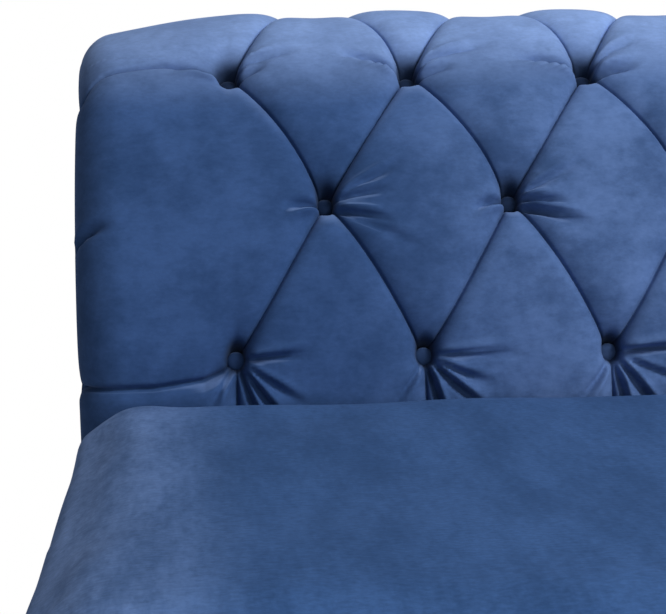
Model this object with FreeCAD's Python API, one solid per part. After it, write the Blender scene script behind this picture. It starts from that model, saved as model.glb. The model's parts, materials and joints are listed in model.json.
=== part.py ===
# Armless chesterfield settee: sprung hardwood base on turned legs, one loose bench cushion, and a
# deep-buttoned back that leans, crests and scrolls over to the rear. Millimetres, +Z up, front at -Y.
# The origin is on the floor, under the centre of the settee.
import FreeCAD, Part
import math
import os

V = FreeCAD.Vector

# Overall sizes
overall_width = 1600.0
seat_depth = 630.0            # front of the cushion to the face of the back
leg_height = 130.0            # floor to the underside of the rails
fit_gap = 0.3                 # space between neighbouring pieces that are not glued flat
hole_gap = 0.1                # space around screws and bolts in their holes

# Base frame
rail_height = 140.0
rail_thickness = 28.0
border_padding = 9.0
cloth = 3.0                   # thickness of the velvet with its backing
cushion_overhang = 8.0        # cushion front past the front border
side_inset = 4.0              # side borders behind the ends of the back
corner_block_leg = 120.0
corner_block_height = 45.0
brace_width = 70.0
dust_cloth = 1.0
dust_hem = 3.0                # edge of the dust cloth in from the faces of the rails

# Springs and deck
spring_wire = 4.0
spring_loop_pitch = 24.0
spring_half_run = 16.0        # straight part of a loop, each side of its centre line
clip_sheet = 1.2
clip_length = 24.0
clip_edge = 2.0               # clip flange short of the edge of the rail
felt_thickness = 8.0
deck_cloth_thickness = 2.0
deck_tuck = 60.0              # how far the deck runs in under the back

# Seat cushion
cushion_height = 136.0        # sewn height of the sides
cushion_crown = 26.0          # rise of the top above the seams
cushion_front_rise = 60.0     # the top climbs to its full height over this depth
cushion_rear_round = 22.0
cushion_side_bulge = 9.0
cushion_draw_in = 7.0         # how far the front pulls in between the corners
cushion_end_crown = 0.1       # share of the crown left at the ends
cushion_end_power = 24        # how late the crown falls towards the ends
cushion_corner = 42.0
cushion_end_drop = 14.0       # the top falls by this much at the ends
cushion_end_inset = 2.0

# Back profile, from the deck upwards and over the scroll
back_straight = 134.0         # upright part, hidden by the cushion
lean_radius = 455.0
lean_angle = 47.0             # where the lean turns into the crest
crest_radius = 135.0
scroll_radius = 95.0
scroll_end_angle = 235.0      # where the covering tucks under the scroll
back_padding = 70.0
skin_thickness = 4.0
rib_thickness = 18.0
rib_columns = (1.25, 3.25)    # inner ribs stand between button columns, mirrored about the middle
stringer_size = 30.0
stringer_drop = 15.0          # roll stringer below the scroll's axis
stringer_lead = 10.0          # roll stringer in front of the scroll's axis
stringer_rise = 90.0          # lower stringer above the rails
stringer_edge = 6.0           # wood left in front of the lower stringer
end_round = 45.0              # rounded ends of the padded back
outside_board = 4.0

# Deep buttoning
tuft_gaps = 8                 # spaces between the columns of buttons
end_margin = 140.0            # outermost button column to the end of the back
first_row_rise = 68.5         # from the start of the lean to the lowest row, along the surface
lower_row_pitch = 146.0
upper_row_pitch = 140.0
roll_pitch = 190.0            # top front row to the row behind the crest
tuft_depth = 42.0
pillow_share = 0.5            # how much of the depth the creases keep between two buttons
end_tuft_share = 0.3          # depth of the creases where they reach the ends
tail_tuft_share = 0.6         # depth of the upright pleats where they run out
button_radius = 10.0
button_edge = 3.0
button_dome = 4.0
button_stand_off = 0.9        # button edge off the sides of its pit
twine_radius = 1.2
toggle_radius = 2.5
toggle_length = 26.0

# Legs and fasteners
leg_top_radius = 31.0
leg_bulb_radius = 35.0
leg_neck_radius = 21.0
leg_ankle_radius = 24.0
leg_foot_radius = 16.0
leg_collar = 12.0
leg_cove = 10.0
leg_cove_hollow = 0.3         # the cove's middle, as a share of its width and height
leg_bulb = 48.0
leg_from_rail = 38.0          # leg centre to the inner faces of the rails
glide_radius = 14.0
glide_thickness = 4.0
bolt_radius = 4.0
bolt_in_leg = 40.0
bolt_below_top = 2.0          # bolt end below the top of its block
tee_nut_wall = 1.5
tee_nut_length = 20.0
tee_nut_flange_radius = 11.0
screw_radius = 2.5
screw_length = 70.0
screw_head_radius = 5.0
screw_head_height = 3.0
screw_from_middle = 40.0      # paired screws above and below the middle of a rail
brace_screw_spacing = 36.0
bracket_sheet = 2.5
bracket_leg = 42.0
bracket_width = 24.0
bracket_hole = 28.0           # from the corner of the bracket
bracket_screw_radius = 2.0
bracket_screw_length = 14.0
bracket_head_radius = 4.0
bracket_head_height = 2.0

# Heights
rail_top = leg_height + rail_height
block_top = leg_height + corner_block_height
spring_axis_z = rail_top + spring_wire / 2
clip_bore = spring_wire / 2 + hole_gap
felt_bottom = spring_axis_z + clip_bore + clip_sheet + hole_gap
deck_cloth_bottom = felt_bottom + felt_thickness
deck_top = deck_cloth_bottom + deck_cloth_thickness
lean_start_z = deck_top + back_straight

# Depths
lean = math.radians(lean_angle)
scroll_end = math.radians(scroll_end_angle)
lean_depth = lean_radius * (1 - math.cos(lean))
crest_depth = crest_radius * math.cos(lean)
overall_depth = seat_depth + lean_depth + crest_depth + scroll_radius
front_y = -overall_depth / 2
back_face_y = front_y + seat_depth
crest_y = back_face_y + lean_depth + crest_depth
crest_z = lean_start_z + lean_radius * math.sin(lean) + crest_radius * (1 - math.sin(lean))
scroll_z = crest_z - scroll_radius
outside_y = crest_y - scroll_radius * math.cos(scroll_end)
outside_top = scroll_z + scroll_radius * math.sin(scroll_end) - fit_gap
panel_rear_y = outside_y - cloth - outside_board

# Rails, worked in from the outer faces of the borders
half_width = overall_width / 2
border_front_y = front_y + cushion_overhang
rail_front_y = border_front_y + cloth + border_padding
rail_rear_y = panel_rear_y
rail_side_x = half_width - side_inset - cloth - border_padding
rib_offset = back_padding + skin_thickness + 2 * fit_gap
spring_rail_front_y = back_face_y + rib_offset
spring_rail_rear_y = spring_rail_front_y + rail_thickness
inner_front_y = rail_front_y + rail_thickness
inner_rear_y = rail_rear_y - rail_thickness
inner_side_x = rail_side_x - rail_thickness
foam_reach = half_width - cloth - fit_gap
end_cover_offset = end_round + end_tuft_share * tuft_depth + cloth + fit_gap
end_padding_offset = back_padding + fit_gap

# Legs stand in the corners and under the middle of the brace
leg_x = inner_side_x - leg_from_rail
front_leg_y = inner_front_y + leg_from_rail
rear_leg_y = inner_rear_y - leg_from_rail
centre_leg_y = (inner_front_y + spring_rail_front_y) / 2
leg_places = {
    "front_left_leg": (-leg_x, front_leg_y),
    "front_right_leg": (leg_x, front_leg_y),
    "rear_left_leg": (-leg_x, rear_leg_y),
    "rear_right_leg": (leg_x, rear_leg_y),
    "centre_leg": (0.0, centre_leg_y),
}

# Lengths along the profile, measured from the start of the lean
lean_length = lean_radius * lean
crest_length = crest_radius * (math.pi / 2 - lean)
scroll_length = scroll_radius * (scroll_end - math.pi / 2)
profile_start = -back_straight
profile_end = lean_length + crest_length + scroll_length
scroll_rear = lean_length + crest_length + scroll_radius * math.pi / 2
bottom_row = first_row_rise
middle_row = bottom_row + lower_row_pitch
top_row = middle_row + upper_row_pitch
roll_row = top_row + roll_pitch
tuft_spacing = (overall_width - 2 * end_margin) / tuft_gaps
first_column_x = -half_width + end_margin
profile_stops = [0.0, bottom_row, (bottom_row + middle_row) / 2, middle_row, (middle_row + top_row) / 2]
profile_stops += [top_row, (top_row + roll_row) / 2, roll_row, scroll_rear, profile_end]


def save(name, shapes):
    """Writes one node; a list becomes a group of separate solids."""
    solids = shapes if isinstance(shapes, list) else [shapes]
    shape = solids[0] if len(solids) == 1 else Part.makeCompound(solids)
    shape.exportStep(f"parts/{name}.step")
    print(f"{name}: {len(shape.Solids)} solids, {shape.Volume / 1000:.1f} cm3, valid {shape.isValid()}")


def block(x0, x1, y0, y1, z0, z1):
    """A box between two corners."""
    return Part.makeBox(x1 - x0, y1 - y0, z1 - z0, V(x0, y0, z0))


def line(start, end):
    return Part.LineSegment(start, end).toShape()


def arc(start, middle, end):
    return Part.Arc(start, middle, end).toShape()


def drilled(shape, holes):
    """The shape with all its holes cut at once."""
    return shape.cut(Part.makeCompound(holes)).Solids[0]


def mirrored(shape):
    """The same piece at the other end of the settee."""
    return shape.mirror(V(0, 0, 0), V(1, 0, 0))


# Back profile

def profile(length, offset):
    """Point (y, z) on the back's outline, moved inwards by offset, and the outward normal there."""
    if length <= lean_length:
        angle = max(0.0, length) / lean_radius
        centre = (back_face_y + lean_radius, lean_start_z + min(0.0, length))
        radius = lean_radius
    elif length <= lean_length + crest_length:
        angle = lean + (length - lean_length) / crest_radius
        centre = (crest_y, crest_z - crest_radius)
        radius = crest_radius
    else:
        angle = math.pi / 2 + (length - lean_length - crest_length) / scroll_radius
        centre = (crest_y, scroll_z)
        radius = scroll_radius
    normal = (-math.cos(angle), math.sin(angle))
    reach = radius - offset
    return (centre[0] + reach * normal[0], centre[1] + reach * normal[1]), normal


def profile_point(x, length, offset):
    y, z = profile(length, offset)[0]
    return V(x, y, z)


def chain(x, stops, offset_at):
    """The outline at one station: a line up behind the cushion, then an arc from stop to stop."""
    def at(length):
        return profile_point(x, length, offset_at(length))

    edges = [line(at(profile_start), at(stops[0]))]
    for low, high in zip(stops, stops[1:]):
        edges.append(arc(at(low), at((low + high) / 2), at(high)))
    return edges


def smooth_chain(x, offset):
    """The outline at an even offset: upright, lean, crest and scroll."""
    stops = [0.0, lean_length, lean_length + crest_length, profile_end]
    return chain(x, stops, lambda length: offset)


def ring_between(outer, inner):
    """One closed wire from two chains that run the same way."""
    start = line(inner[0].Vertexes[0].Point, outer[0].Vertexes[0].Point)
    end = line(outer[-1].Vertexes[-1].Point, inner[-1].Vertexes[-1].Point)
    return Part.Wire([start] + outer + [end] + inner[::-1])


def slab(edges, x, thickness):
    """A closed outline in the YZ plane at x, thickened along +X."""
    return Part.Face(Part.Wire(edges)).extrude(V(thickness, 0, 0))


# Buttoning

def row_of(length):
    """Row coordinate along the profile: 3 lowest, 1 top front, 0 behind the crest."""
    if length > top_row:
        return max(0.0, 1 - (length - top_row) / roll_pitch)
    if length > middle_row:
        return 1 + (top_row - length) / upper_row_pitch
    return min(3.0, 2 + (middle_row - length) / lower_row_pitch)


def tuft_recess(x, length):
    """Depth below the full outline: deepest at the buttons, part of it along the creases between.

    The creases lie where column plus or minus half the row is whole, which makes the diamonds.
    Past the outer rows and columns the creases run on straight and fade."""
    column = min(max((x - first_column_x) / tuft_spacing, 0.0), float(tuft_gaps))
    half_row = (row_of(length) - 1) / 2
    rise = math.pi * (column + half_row)
    fall = math.pi * (column - half_row)
    pillow = math.sqrt(abs(math.sin(rise) * math.sin(fall)))
    clear_of_buttons = 1 - (math.cos(rise) * math.cos(fall)) ** 2
    height = pillow_share * pillow + (1 - pillow_share) * clear_of_buttons
    to_end = max(0.0, abs(x) + first_column_x) / (end_margin - end_round)
    to_deck = max(0.0, bottom_row - length) / bottom_row
    to_rear = max(0.0, length - roll_row) / (profile_end - roll_row)
    end_fade = 1 - (1 - end_tuft_share) * min(1.0, to_end)
    tail_fade = 1 - (1 - tail_tuft_share) * min(1.0, max(to_deck, to_rear))
    return tuft_depth * (1 - height) * end_fade * tail_fade


def back_stations(reach):
    """X stations of the padded back out to reach, each with the inset of its rounded ends."""
    quarter = tuft_spacing / 4
    tufted = [(first_column_x + i * quarter, 0.0) for i in range(4 * tuft_gaps + 1)]
    flat_half = half_width - end_round
    foam_turn = math.asin((foam_reach - flat_half) / end_round)
    ends = [((flat_half - first_column_x) / 2, 0.0), (flat_half, 0.0)]
    for turn in (foam_turn / 3, foam_turn * 2 / 3, foam_turn, math.pi / 2):
        ends.append((flat_half + end_round * math.sin(turn), end_round * (1 - math.cos(turn))))
    ends = [(x, inset) for x, inset in ends if x <= reach + fit_gap / 2]
    return [(-x, inset) for x, inset in reversed(ends)] + tufted + ends


def tufted_chain(x, inset, offset):
    return chain(x, profile_stops, lambda length: inset + offset + tuft_recess(x, length))


def inside_back_cover():
    wires = []
    for x, inset in back_stations(half_width):
        wires.append(ring_between(tufted_chain(x, inset, 0.0), tufted_chain(x, inset, cloth)))
    return Part.makeLoft(wires, True, True)


def back_foam():
    """Follows the buttoned cover in front and the bent skin board behind."""
    wires = []
    for x, inset in back_stations(foam_reach):
        base = chain(x, profile_stops, lambda length: back_padding)
        wires.append(ring_between(tufted_chain(x, inset, cloth + fit_gap), base))
    return Part.makeLoft(wires, True, True)


def button_seats():
    """Where each button bears on the sides of its pit, and the outward normal there."""
    quarter = tuft_spacing / 4
    side_rise = tuft_recess(first_column_x, top_row) - tuft_recess(first_column_x + quarter, top_row)
    depth = tuft_depth - button_radius * side_rise / quarter - button_stand_off
    seats = []
    for length, shift in ((bottom_row, 0.0), (middle_row, 0.5), (top_row, 0.0), (roll_row, 0.5)):
        (y, z), normal = profile(length, depth)
        last_y, last_z = profile(length, rib_offset)[0]
        columns = tuft_gaps if shift else tuft_gaps + 1
        for i in range(columns):
            x = first_column_x + (i + shift) * tuft_spacing
            seats.append((V(x, y, z), V(x, last_y, last_z), V(0, *normal)))
    return seats


def tuft_button(seat, normal):
    """A covered button: short edge and domed face."""
    dome_radius = (button_radius ** 2 + button_dome ** 2) / (2 * button_dome)
    top = button_edge + button_dome
    slant = math.asin(button_radius / dome_radius) / 2
    middle = V(dome_radius * math.sin(slant), 0, top - dome_radius * (1 - math.cos(slant)))
    edges = [line(V(0, 0, 0), V(button_radius, 0, 0))]
    edges.append(line(V(button_radius, 0, 0), V(button_radius, 0, button_edge)))
    edges.append(arc(V(button_radius, 0, button_edge), middle, V(0, 0, top)))
    edges.append(line(V(0, 0, top), V(0, 0, 0)))
    button = Part.Face(Part.Wire(edges)).revolve(V(0, 0, 0), V(0, 0, 1), 360)
    button.Placement = FreeCAD.Placement(seat, FreeCAD.Rotation(V(0, 0, 1), normal))
    return button


def buttoning():
    """Buttons, the twines that pull them in, and the toggles behind the skin board."""
    buttons = []
    twines = []
    toggles = []
    for seat, behind, normal in button_seats():
        buttons.append(tuft_button(seat, normal))
        twines.append(Part.makeCylinder(twine_radius, (seat - behind).Length, behind, normal))
        start = behind - normal * toggle_radius - V(toggle_length / 2, 0, 0)
        toggles.append(Part.makeCylinder(toggle_radius, toggle_length, start, V(1, 0, 0)))
    return buttons, twines, toggles


def back_skin_board(twine_holes):
    """Thin board bent over the ribs, with a hole for every twine."""
    offset = back_padding + fit_gap
    ring = ring_between(smooth_chain(-rail_side_x, offset), smooth_chain(-rail_side_x, offset + skin_thickness))
    board = Part.Face(ring).extrude(V(2 * rail_side_x, 0, 0))
    return drilled(board, twine_holes)


# Back frame

def back_outline(x, offset, bottom):
    """Closed outline: up the front from bottom, over the scroll, under it, and down the flat rear."""
    edges = smooth_chain(x, offset)
    foot = V(x, back_face_y + offset, bottom)
    edges[0] = line(foot, profile_point(x, 0.0, offset))
    tuck = profile_point(x, profile_end, offset)
    fall = (panel_rear_y - tuck.y) * math.tan(scroll_end)
    rear_top = V(x, panel_rear_y, tuck.z - fall - fit_gap)
    rear_foot = V(x, panel_rear_y, bottom)
    return edges + [line(tuck, rear_top), line(rear_top, rear_foot), line(rear_foot, foot)]


def rib_places():
    """Left face and bracket side of every rib: the two ends, then the inner ones."""
    inner = [first_column_x + column * tuft_spacing for column in rib_columns]
    places = {"left_end_rib": (-rail_side_x, 1), "right_end_rib": (rail_side_x - rib_thickness, -1)}
    for i, x in enumerate(inner):
        places[f"inner_rib_{2 * i}"] = (x - rib_thickness / 2, -1)
        places[f"inner_rib_{2 * i + 1}"] = (-x - rib_thickness / 2, 1)
    return places


def stringers(gap):
    """Two square bars through the ribs, near the scroll and low down at the front."""
    half = stringer_size / 2 + gap
    low_y = spring_rail_front_y + stringer_edge + stringer_size / 2
    bars = []
    for y, z in ((crest_y - stringer_lead, scroll_z - stringer_drop), (low_y, rail_top + stringer_rise)):
        bars.append(block(-rail_side_x, rail_side_x, y - half, y + half, z - half, z + half))
    return bars


def bracket_corners():
    """Every bracket: its corner on a rail beside a rib, and the side that it lies on."""
    corners = []
    for left_x, side in rib_places().values():
        face_x = left_x + (rib_thickness if side > 0 else 0.0)
        for y in (spring_rail_front_y + rail_thickness / 2, rail_rear_y - rail_thickness / 2):
            corners.append((V(face_x, y, rail_top), side))
    return corners


def bracket_screw(head, into, gap):
    """A pan-head screw from its bearing point; the gap widens it to a hole."""
    shaft = Part.makeCylinder(bracket_screw_radius + gap, bracket_screw_length, head, into)
    cap = Part.makeCylinder(bracket_head_radius, bracket_head_height, head, -into)
    return shaft if gap else shaft.fuse(cap)


def bracket_screw_places():
    places = []
    for corner, side in bracket_corners():
        places.append((corner + V(side * bracket_sheet, 0, bracket_hole), V(-side, 0, 0)))
        places.append((corner + V(side * bracket_hole, 0, bracket_sheet), V(0, 0, -1)))
    return places


def back_brackets(holes):
    """Angle brackets that tie the ribs to the rails."""
    brackets = []
    for corner, side in bracket_corners():
        y0 = corner.y - bracket_width / 2
        y1 = corner.y + bracket_width / 2
        near, tall, far = (corner.x + side * reach for reach in (0.0, bracket_sheet, bracket_leg))
        upright = block(min(near, tall), max(near, tall), y0, y1, rail_top, rail_top + bracket_leg)
        flat = block(min(near, far), max(near, far), y0, y1, rail_top, rail_top + bracket_sheet)
        brackets.append(drilled(upright.fuse(flat).removeSplitter(), holes))
    return brackets


# Base frame

def frame_screw_places():
    """Head position and direction of every screw in the base frame."""
    middle = leg_height + rail_height / 2
    low = leg_height + corner_block_height / 2
    places = []
    for side in (-1, 1):
        for z in (middle - screw_from_middle, middle + screw_from_middle):
            end_x = side * (rail_side_x - rail_thickness / 2)
            places.append((V(end_x, rail_front_y, z), V(0, 1, 0)))
            places.append((V(end_x, rail_rear_y, z), V(0, -1, 0)))
            spring_rail_y = spring_rail_front_y + rail_thickness / 2
            places.append((V(side * rail_side_x, spring_rail_y, z), V(-side, 0, 0)))
        brace_x = side * brace_screw_spacing / 2
        places.append((V(brace_x, rail_front_y, low), V(0, 1, 0)))
        places.append((V(brace_x, spring_rail_rear_y, low), V(0, -1, 0)))
    return places


def frame_screw(head, into, gap):
    """A countersunk screw, flush with the rail; the gap widens it to a hole."""
    cone = Part.makeCone(screw_head_radius + gap, screw_radius + gap, screw_head_height, head, into)
    return cone.fuse(Part.makeCylinder(screw_radius + gap, screw_length, head, into))


def corner_block(x_sign, y_corner, y_sign):
    """A triangular block glued into a corner of the rails."""
    corner = V(x_sign * inner_side_x, y_corner, leg_height)
    along = corner - V(x_sign * corner_block_leg, 0, 0)
    across = corner + V(0, y_sign * corner_block_leg, 0)
    face = Part.Face(Part.makePolygon([corner, along, across, corner]))
    return face.extrude(V(0, 0, corner_block_height))


def leg_bore(x, y):
    """The way for a leg bolt and its tee nut through a block."""
    radius = bolt_radius + tee_nut_wall + 2 * hole_gap
    return Part.makeCylinder(radius, corner_block_height, V(x, y, leg_height))


# Legs

def turned_leg(x, y):
    """Collar, cove, bulb and taper, turned about the leg's axis."""
    collar = leg_height - leg_collar
    neck = collar - leg_cove
    ankle = neck - leg_bulb
    cove_x = leg_neck_radius + (leg_top_radius - leg_neck_radius) * leg_cove_hollow
    cove_middle = V(cove_x, 0, collar - leg_cove * leg_cove_hollow)
    edges = [line(V(0, 0, leg_height), V(leg_top_radius, 0, leg_height))]
    edges.append(line(V(leg_top_radius, 0, leg_height), V(leg_top_radius, 0, collar)))
    edges.append(arc(V(leg_top_radius, 0, collar), cove_middle, V(leg_neck_radius, 0, neck)))
    bulb_middle = V(leg_bulb_radius, 0, (neck + ankle) / 2)
    edges.append(arc(V(leg_neck_radius, 0, neck), bulb_middle, V(leg_ankle_radius, 0, ankle)))
    edges.append(line(V(leg_ankle_radius, 0, ankle), V(leg_foot_radius, 0, glide_thickness)))
    edges.append(line(V(leg_foot_radius, 0, glide_thickness), V(0, 0, glide_thickness)))
    edges.append(line(V(0, 0, glide_thickness), V(0, 0, leg_height)))
    leg = Part.Face(Part.Wire(edges)).revolve(V(0, 0, 0), V(0, 0, 1), 360)
    bore = Part.makeCylinder(bolt_radius + hole_gap, bolt_in_leg, V(0, 0, leg_height - bolt_in_leg))
    leg = drilled(leg, [bore])
    leg.translate(V(x, y, 0))
    return leg


def leg_bolt(x, y):
    length = bolt_in_leg + corner_block_height - bolt_below_top
    return Part.makeCylinder(bolt_radius, length, V(x, y, leg_height - bolt_in_leg))


def tee_nut(x, y):
    """Flange on the block's top with a barrel down its bore."""
    barrel_radius = bolt_radius + hole_gap + tee_nut_wall
    barrel = Part.makeCylinder(barrel_radius, tee_nut_length, V(x, y, block_top - tee_nut_length))
    flange = Part.makeCylinder(tee_nut_flange_radius, tee_nut_wall, V(x, y, block_top))
    bore_length = tee_nut_length + tee_nut_wall
    bore = Part.makeCylinder(bolt_radius + hole_gap, bore_length, V(x, y, block_top - tee_nut_length))
    return drilled(barrel.fuse(flange), [bore])


# Springs and deck

def spring_ends():
    """Middle of the front rail and of the spring rail, where the springs are held."""
    return rail_front_y + rail_thickness / 2, spring_rail_front_y + rail_thickness / 2


def seat_spring(x):
    """Zigzag wire: straight runs across, joined by half-round bends of two quarter arcs."""
    front, rear = spring_ends()
    bends = int((rear - front) / spring_loop_pitch)
    step = (rear - front) / bends
    bend = step / 2
    reach = spring_half_run
    edges = []
    for i in range(bends + 1):
        side = 1 if i % 2 == 0 else -1
        y = front + i * step
        edges.append(line(V(x - side * reach, y, spring_axis_z), V(x + side * reach, y, spring_axis_z)))
        if i == bends:
            break
        centre = V(x + side * reach, y + bend, spring_axis_z)
        slant = bend * math.sqrt(0.5)
        tip = centre + V(side * bend, 0, 0)
        edges.append(arc(centre - V(0, bend, 0), centre + V(side * slant, -slant, 0), tip))
        edges.append(arc(tip, centre + V(side * slant, slant, 0), centre + V(0, bend, 0)))
    path = Part.Wire(edges)
    start = V(x - reach, front, spring_axis_z)
    section = Part.Wire(Part.makeCircle(spring_wire / 2, start, V(1, 0, 0)))
    spring = path.makePipeShell([section], True, False)
    expected = math.pi * spring_wire ** 2 / 4 * path.Length
    print(f"spring volume over section times length: {spring.Volume / expected:.4f}")
    print(f"least gap between the runs of a spring: {step - spring_wire:.2f} mm")
    return spring


def spring_clip(x, y, outward):
    """A folded strip over the end run of a spring, nailed to the rail by its flange."""
    outer = clip_bore + clip_sheet
    start = V(x - clip_length / 2, y, spring_axis_z)
    arch = Part.makeCylinder(outer, clip_length, start, V(1, 0, 0))
    bore = Part.makeCylinder(clip_bore, clip_length, start, V(1, 0, 0))
    edge = outward * (rail_thickness / 2 - clip_edge)
    x0 = x - clip_length / 2
    flange = block(x0, x0 + clip_length, min(y, y + edge), max(y, y + edge), rail_top, rail_top + clip_sheet)
    below = block(x0, x0 + clip_length, y - 2 * outer, y + 2 * outer, rail_top - 2 * outer, rail_top)
    path = block(x0, x0 + clip_length, y - clip_bore, y + clip_bore, rail_top, spring_axis_z)
    return drilled(arch.fuse(flange), [bore, below, path])


def deck(bottom, thickness):
    """A layer over the springs, from the front rail in under the back."""
    x = rail_side_x - fit_gap
    return block(-x, x, rail_front_y + fit_gap, back_face_y + deck_tuck, bottom, bottom + thickness)


# Seat cushion

def cushion_stations():
    """X stations with the plan inset of the rounded corners and the fall of the top at the ends."""
    half = half_width - cushion_end_inset
    flat = half - cushion_corner
    middle = [(flat * share, 0.0, 0.0) for share in (-1.0, -0.75, -0.5, -0.25, 0.0, 0.25, 0.5, 0.75, 1.0)]
    ends = []
    for degrees in (30, 60, 90):
        turn = math.radians(degrees)
        closing = 1 - math.cos(turn)
        ends.append((flat + cushion_corner * math.sin(turn), cushion_corner * closing, cushion_end_drop * closing))
    return [(-x, inset, drop) for x, inset, drop in reversed(ends)] + middle + ends


def cushion_section(x, front, rear, bottom, seam, crown):
    """Closed outline: bulged front, rise to a level top, and a rounded edge against the back."""
    full = seam + crown
    run = cushion_front_rise - cushion_side_bulge
    radius = (run ** 2 + crown ** 2) / (2 * crown)
    turn = math.asin(run / radius) / 2
    crest = front + cushion_front_rise
    slant = cushion_rear_round * (1 - math.sqrt(0.5))
    low_front = V(x, front + cushion_side_bulge, bottom)
    high_front = V(x, front + cushion_side_bulge, seam)
    low_rear = V(x, rear, bottom)
    high_rear = V(x, rear, full - cushion_rear_round)
    top_rear = V(x, rear - cushion_rear_round, full)
    top_front = V(x, crest, full)
    rise_middle = V(x, crest - radius * math.sin(turn), full - radius * (1 - math.cos(turn)))
    edges = [line(low_front, low_rear), line(low_rear, high_rear)]
    edges.append(arc(high_rear, V(x, rear - slant, full - slant), top_rear))
    edges.append(line(top_rear, top_front))
    edges.append(arc(top_front, rise_middle, high_front))
    edges.append(arc(high_front, V(x, front, (bottom + seam) / 2), low_front))
    return Part.Wire(edges)


def cushion_form(shrink):
    """Crowned bench cushion with a drawn-in front, with every wall moved in by shrink."""
    half = half_width - cushion_end_inset
    rest = deck_top + fit_gap
    wires = []
    for x, inset, drop in cushion_stations():
        share = abs(x) / half
        front = front_y + inset + cushion_draw_in * (1 - share ** 2) + shrink
        rear = back_face_y - fit_gap - inset - shrink
        seam = rest + cushion_height - drop - shrink
        crown = cushion_crown * (1 - (1 - cushion_end_crown) * share ** cushion_end_power)
        wires.append(cushion_section(x * (half - shrink) / half, front, rear, rest + shrink, seam, crown))
    return Part.makeLoft(wires, True, True)


# Borders

def border(x0, x1, y0, y1):
    return block(x0, x1, y0, y1, leg_height, deck_cloth_bottom)


def outside_panel(y, thickness):
    x = half_width - fit_gap
    return block(-x, x, y, y + thickness, leg_height, outside_top)


def dust_cover():
    """Thin cloth under the rails, with a hole round each leg."""
    x = rail_side_x - dust_hem
    sheet = block(-x, x, rail_front_y + dust_hem, rail_rear_y - dust_hem, leg_height - dust_cloth, leg_height)
    radius = leg_top_radius + fit_gap
    return drilled(sheet, [Part.makeCylinder(radius, leg_height, V(x, y, 0)) for x, y in leg_places.values()])


def save_base():
    screws = frame_screw_places()
    holes = [frame_screw(head, into, hole_gap) for head, into in screws]
    holes += [bracket_screw(head, into, hole_gap) for head, into in bracket_screw_places()]
    front_rail = block(-rail_side_x, rail_side_x, rail_front_y, inner_front_y, leg_height, rail_top)
    rear_rail = block(-rail_side_x, rail_side_x, inner_rear_y, rail_rear_y, leg_height, rail_top)
    side_rail = block(-rail_side_x, -inner_side_x, inner_front_y, inner_rear_y, leg_height, rail_top)
    spring_rail = block(-inner_side_x, inner_side_x, spring_rail_front_y, spring_rail_rear_y, leg_height, rail_top)
    brace_half = brace_width / 2
    brace = block(-brace_half, brace_half, inner_front_y, spring_rail_front_y, leg_height, block_top)
    bores = [leg_bore(x, y) for x, y in leg_places.values()]
    save("front_rail", drilled(front_rail, holes))
    save("rear_rail", drilled(rear_rail, holes))
    save("left_side_rail", drilled(side_rail, holes))
    save("right_side_rail", drilled(mirrored(side_rail), holes))
    save("spring_rail", drilled(spring_rail, holes))
    save("centre_brace", drilled(brace, holes + bores))
    corners = [(-1, inner_front_y, 1), (1, inner_front_y, 1), (-1, inner_rear_y, -1), (1, inner_rear_y, -1)]
    save("corner_blocks", [drilled(corner_block(*corner), bores) for corner in corners])
    save("frame_screws", [frame_screw(head, into, 0.0) for head, into in screws])
    save("dust_cover", dust_cover())


def save_legs():
    for name, (x, y) in leg_places.items():
        save(name, turned_leg(x, y))
    places = list(leg_places.values())
    save("leg_bolts", [leg_bolt(x, y) for x, y in places])
    save("leg_tee_nuts", [tee_nut(x, y) for x, y in places])
    save("leg_glides", [Part.makeCylinder(glide_radius, glide_thickness, V(x, y, 0)) for x, y in places])


def save_seat():
    columns = [first_column_x + (i + 0.5) * tuft_spacing for i in range(tuft_gaps)]
    front, rear = spring_ends()
    first_spring = seat_spring(columns[0])
    save("seat_springs", [first_spring.translated(V(x - columns[0], 0, 0)) for x in columns])
    save("spring_clips", [spring_clip(x, y, side) for x in columns for y, side in ((front, -1), (rear, 1))])
    save("deck_felt", deck(felt_bottom, felt_thickness))
    save("deck_cloth", deck(deck_cloth_bottom, deck_cloth_thickness))
    save("seat_cushion_cover", cushion_form(0.0).cut(cushion_form(cloth)).Solids[0])
    save("seat_cushion_foam", cushion_form(cloth + fit_gap))


def save_back():
    screws = bracket_screw_places()
    screw_holes = [bracket_screw(head, into, hole_gap) for head, into in screws]
    slots = stringers(fit_gap)
    inner_ribs = []
    for name, (x, side) in rib_places().items():
        rib = drilled(slab(back_outline(x, rib_offset, rail_top), x, rib_thickness), slots + screw_holes)
        if name.endswith("end_rib"):
            save(name, rib)
        else:
            inner_ribs.append(rib)
    save("inner_back_ribs", inner_ribs)
    roll_stringer, lower_stringer = stringers(0.0)
    save("roll_stringer", roll_stringer)
    save("lower_stringer", lower_stringer)
    save("back_brackets", back_brackets(screw_holes))
    save("bracket_screws", [bracket_screw(head, into, 0.0) for head, into in screws])
    buttons, twines, toggles = buttoning()
    twine_holes = []
    for seat, behind, normal in button_seats():
        start = behind - normal * skin_thickness
        radius = twine_radius + hole_gap
        twine_holes.append(Part.makeCylinder(radius, 3 * skin_thickness, start, normal))
    save("back_skin_board", back_skin_board(twine_holes))
    save("back_foam", back_foam())
    save("inside_back_cover", inside_back_cover())
    save("tuft_buttons", buttons)
    save("button_twines", twines)
    save("button_toggles", toggles)


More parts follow.
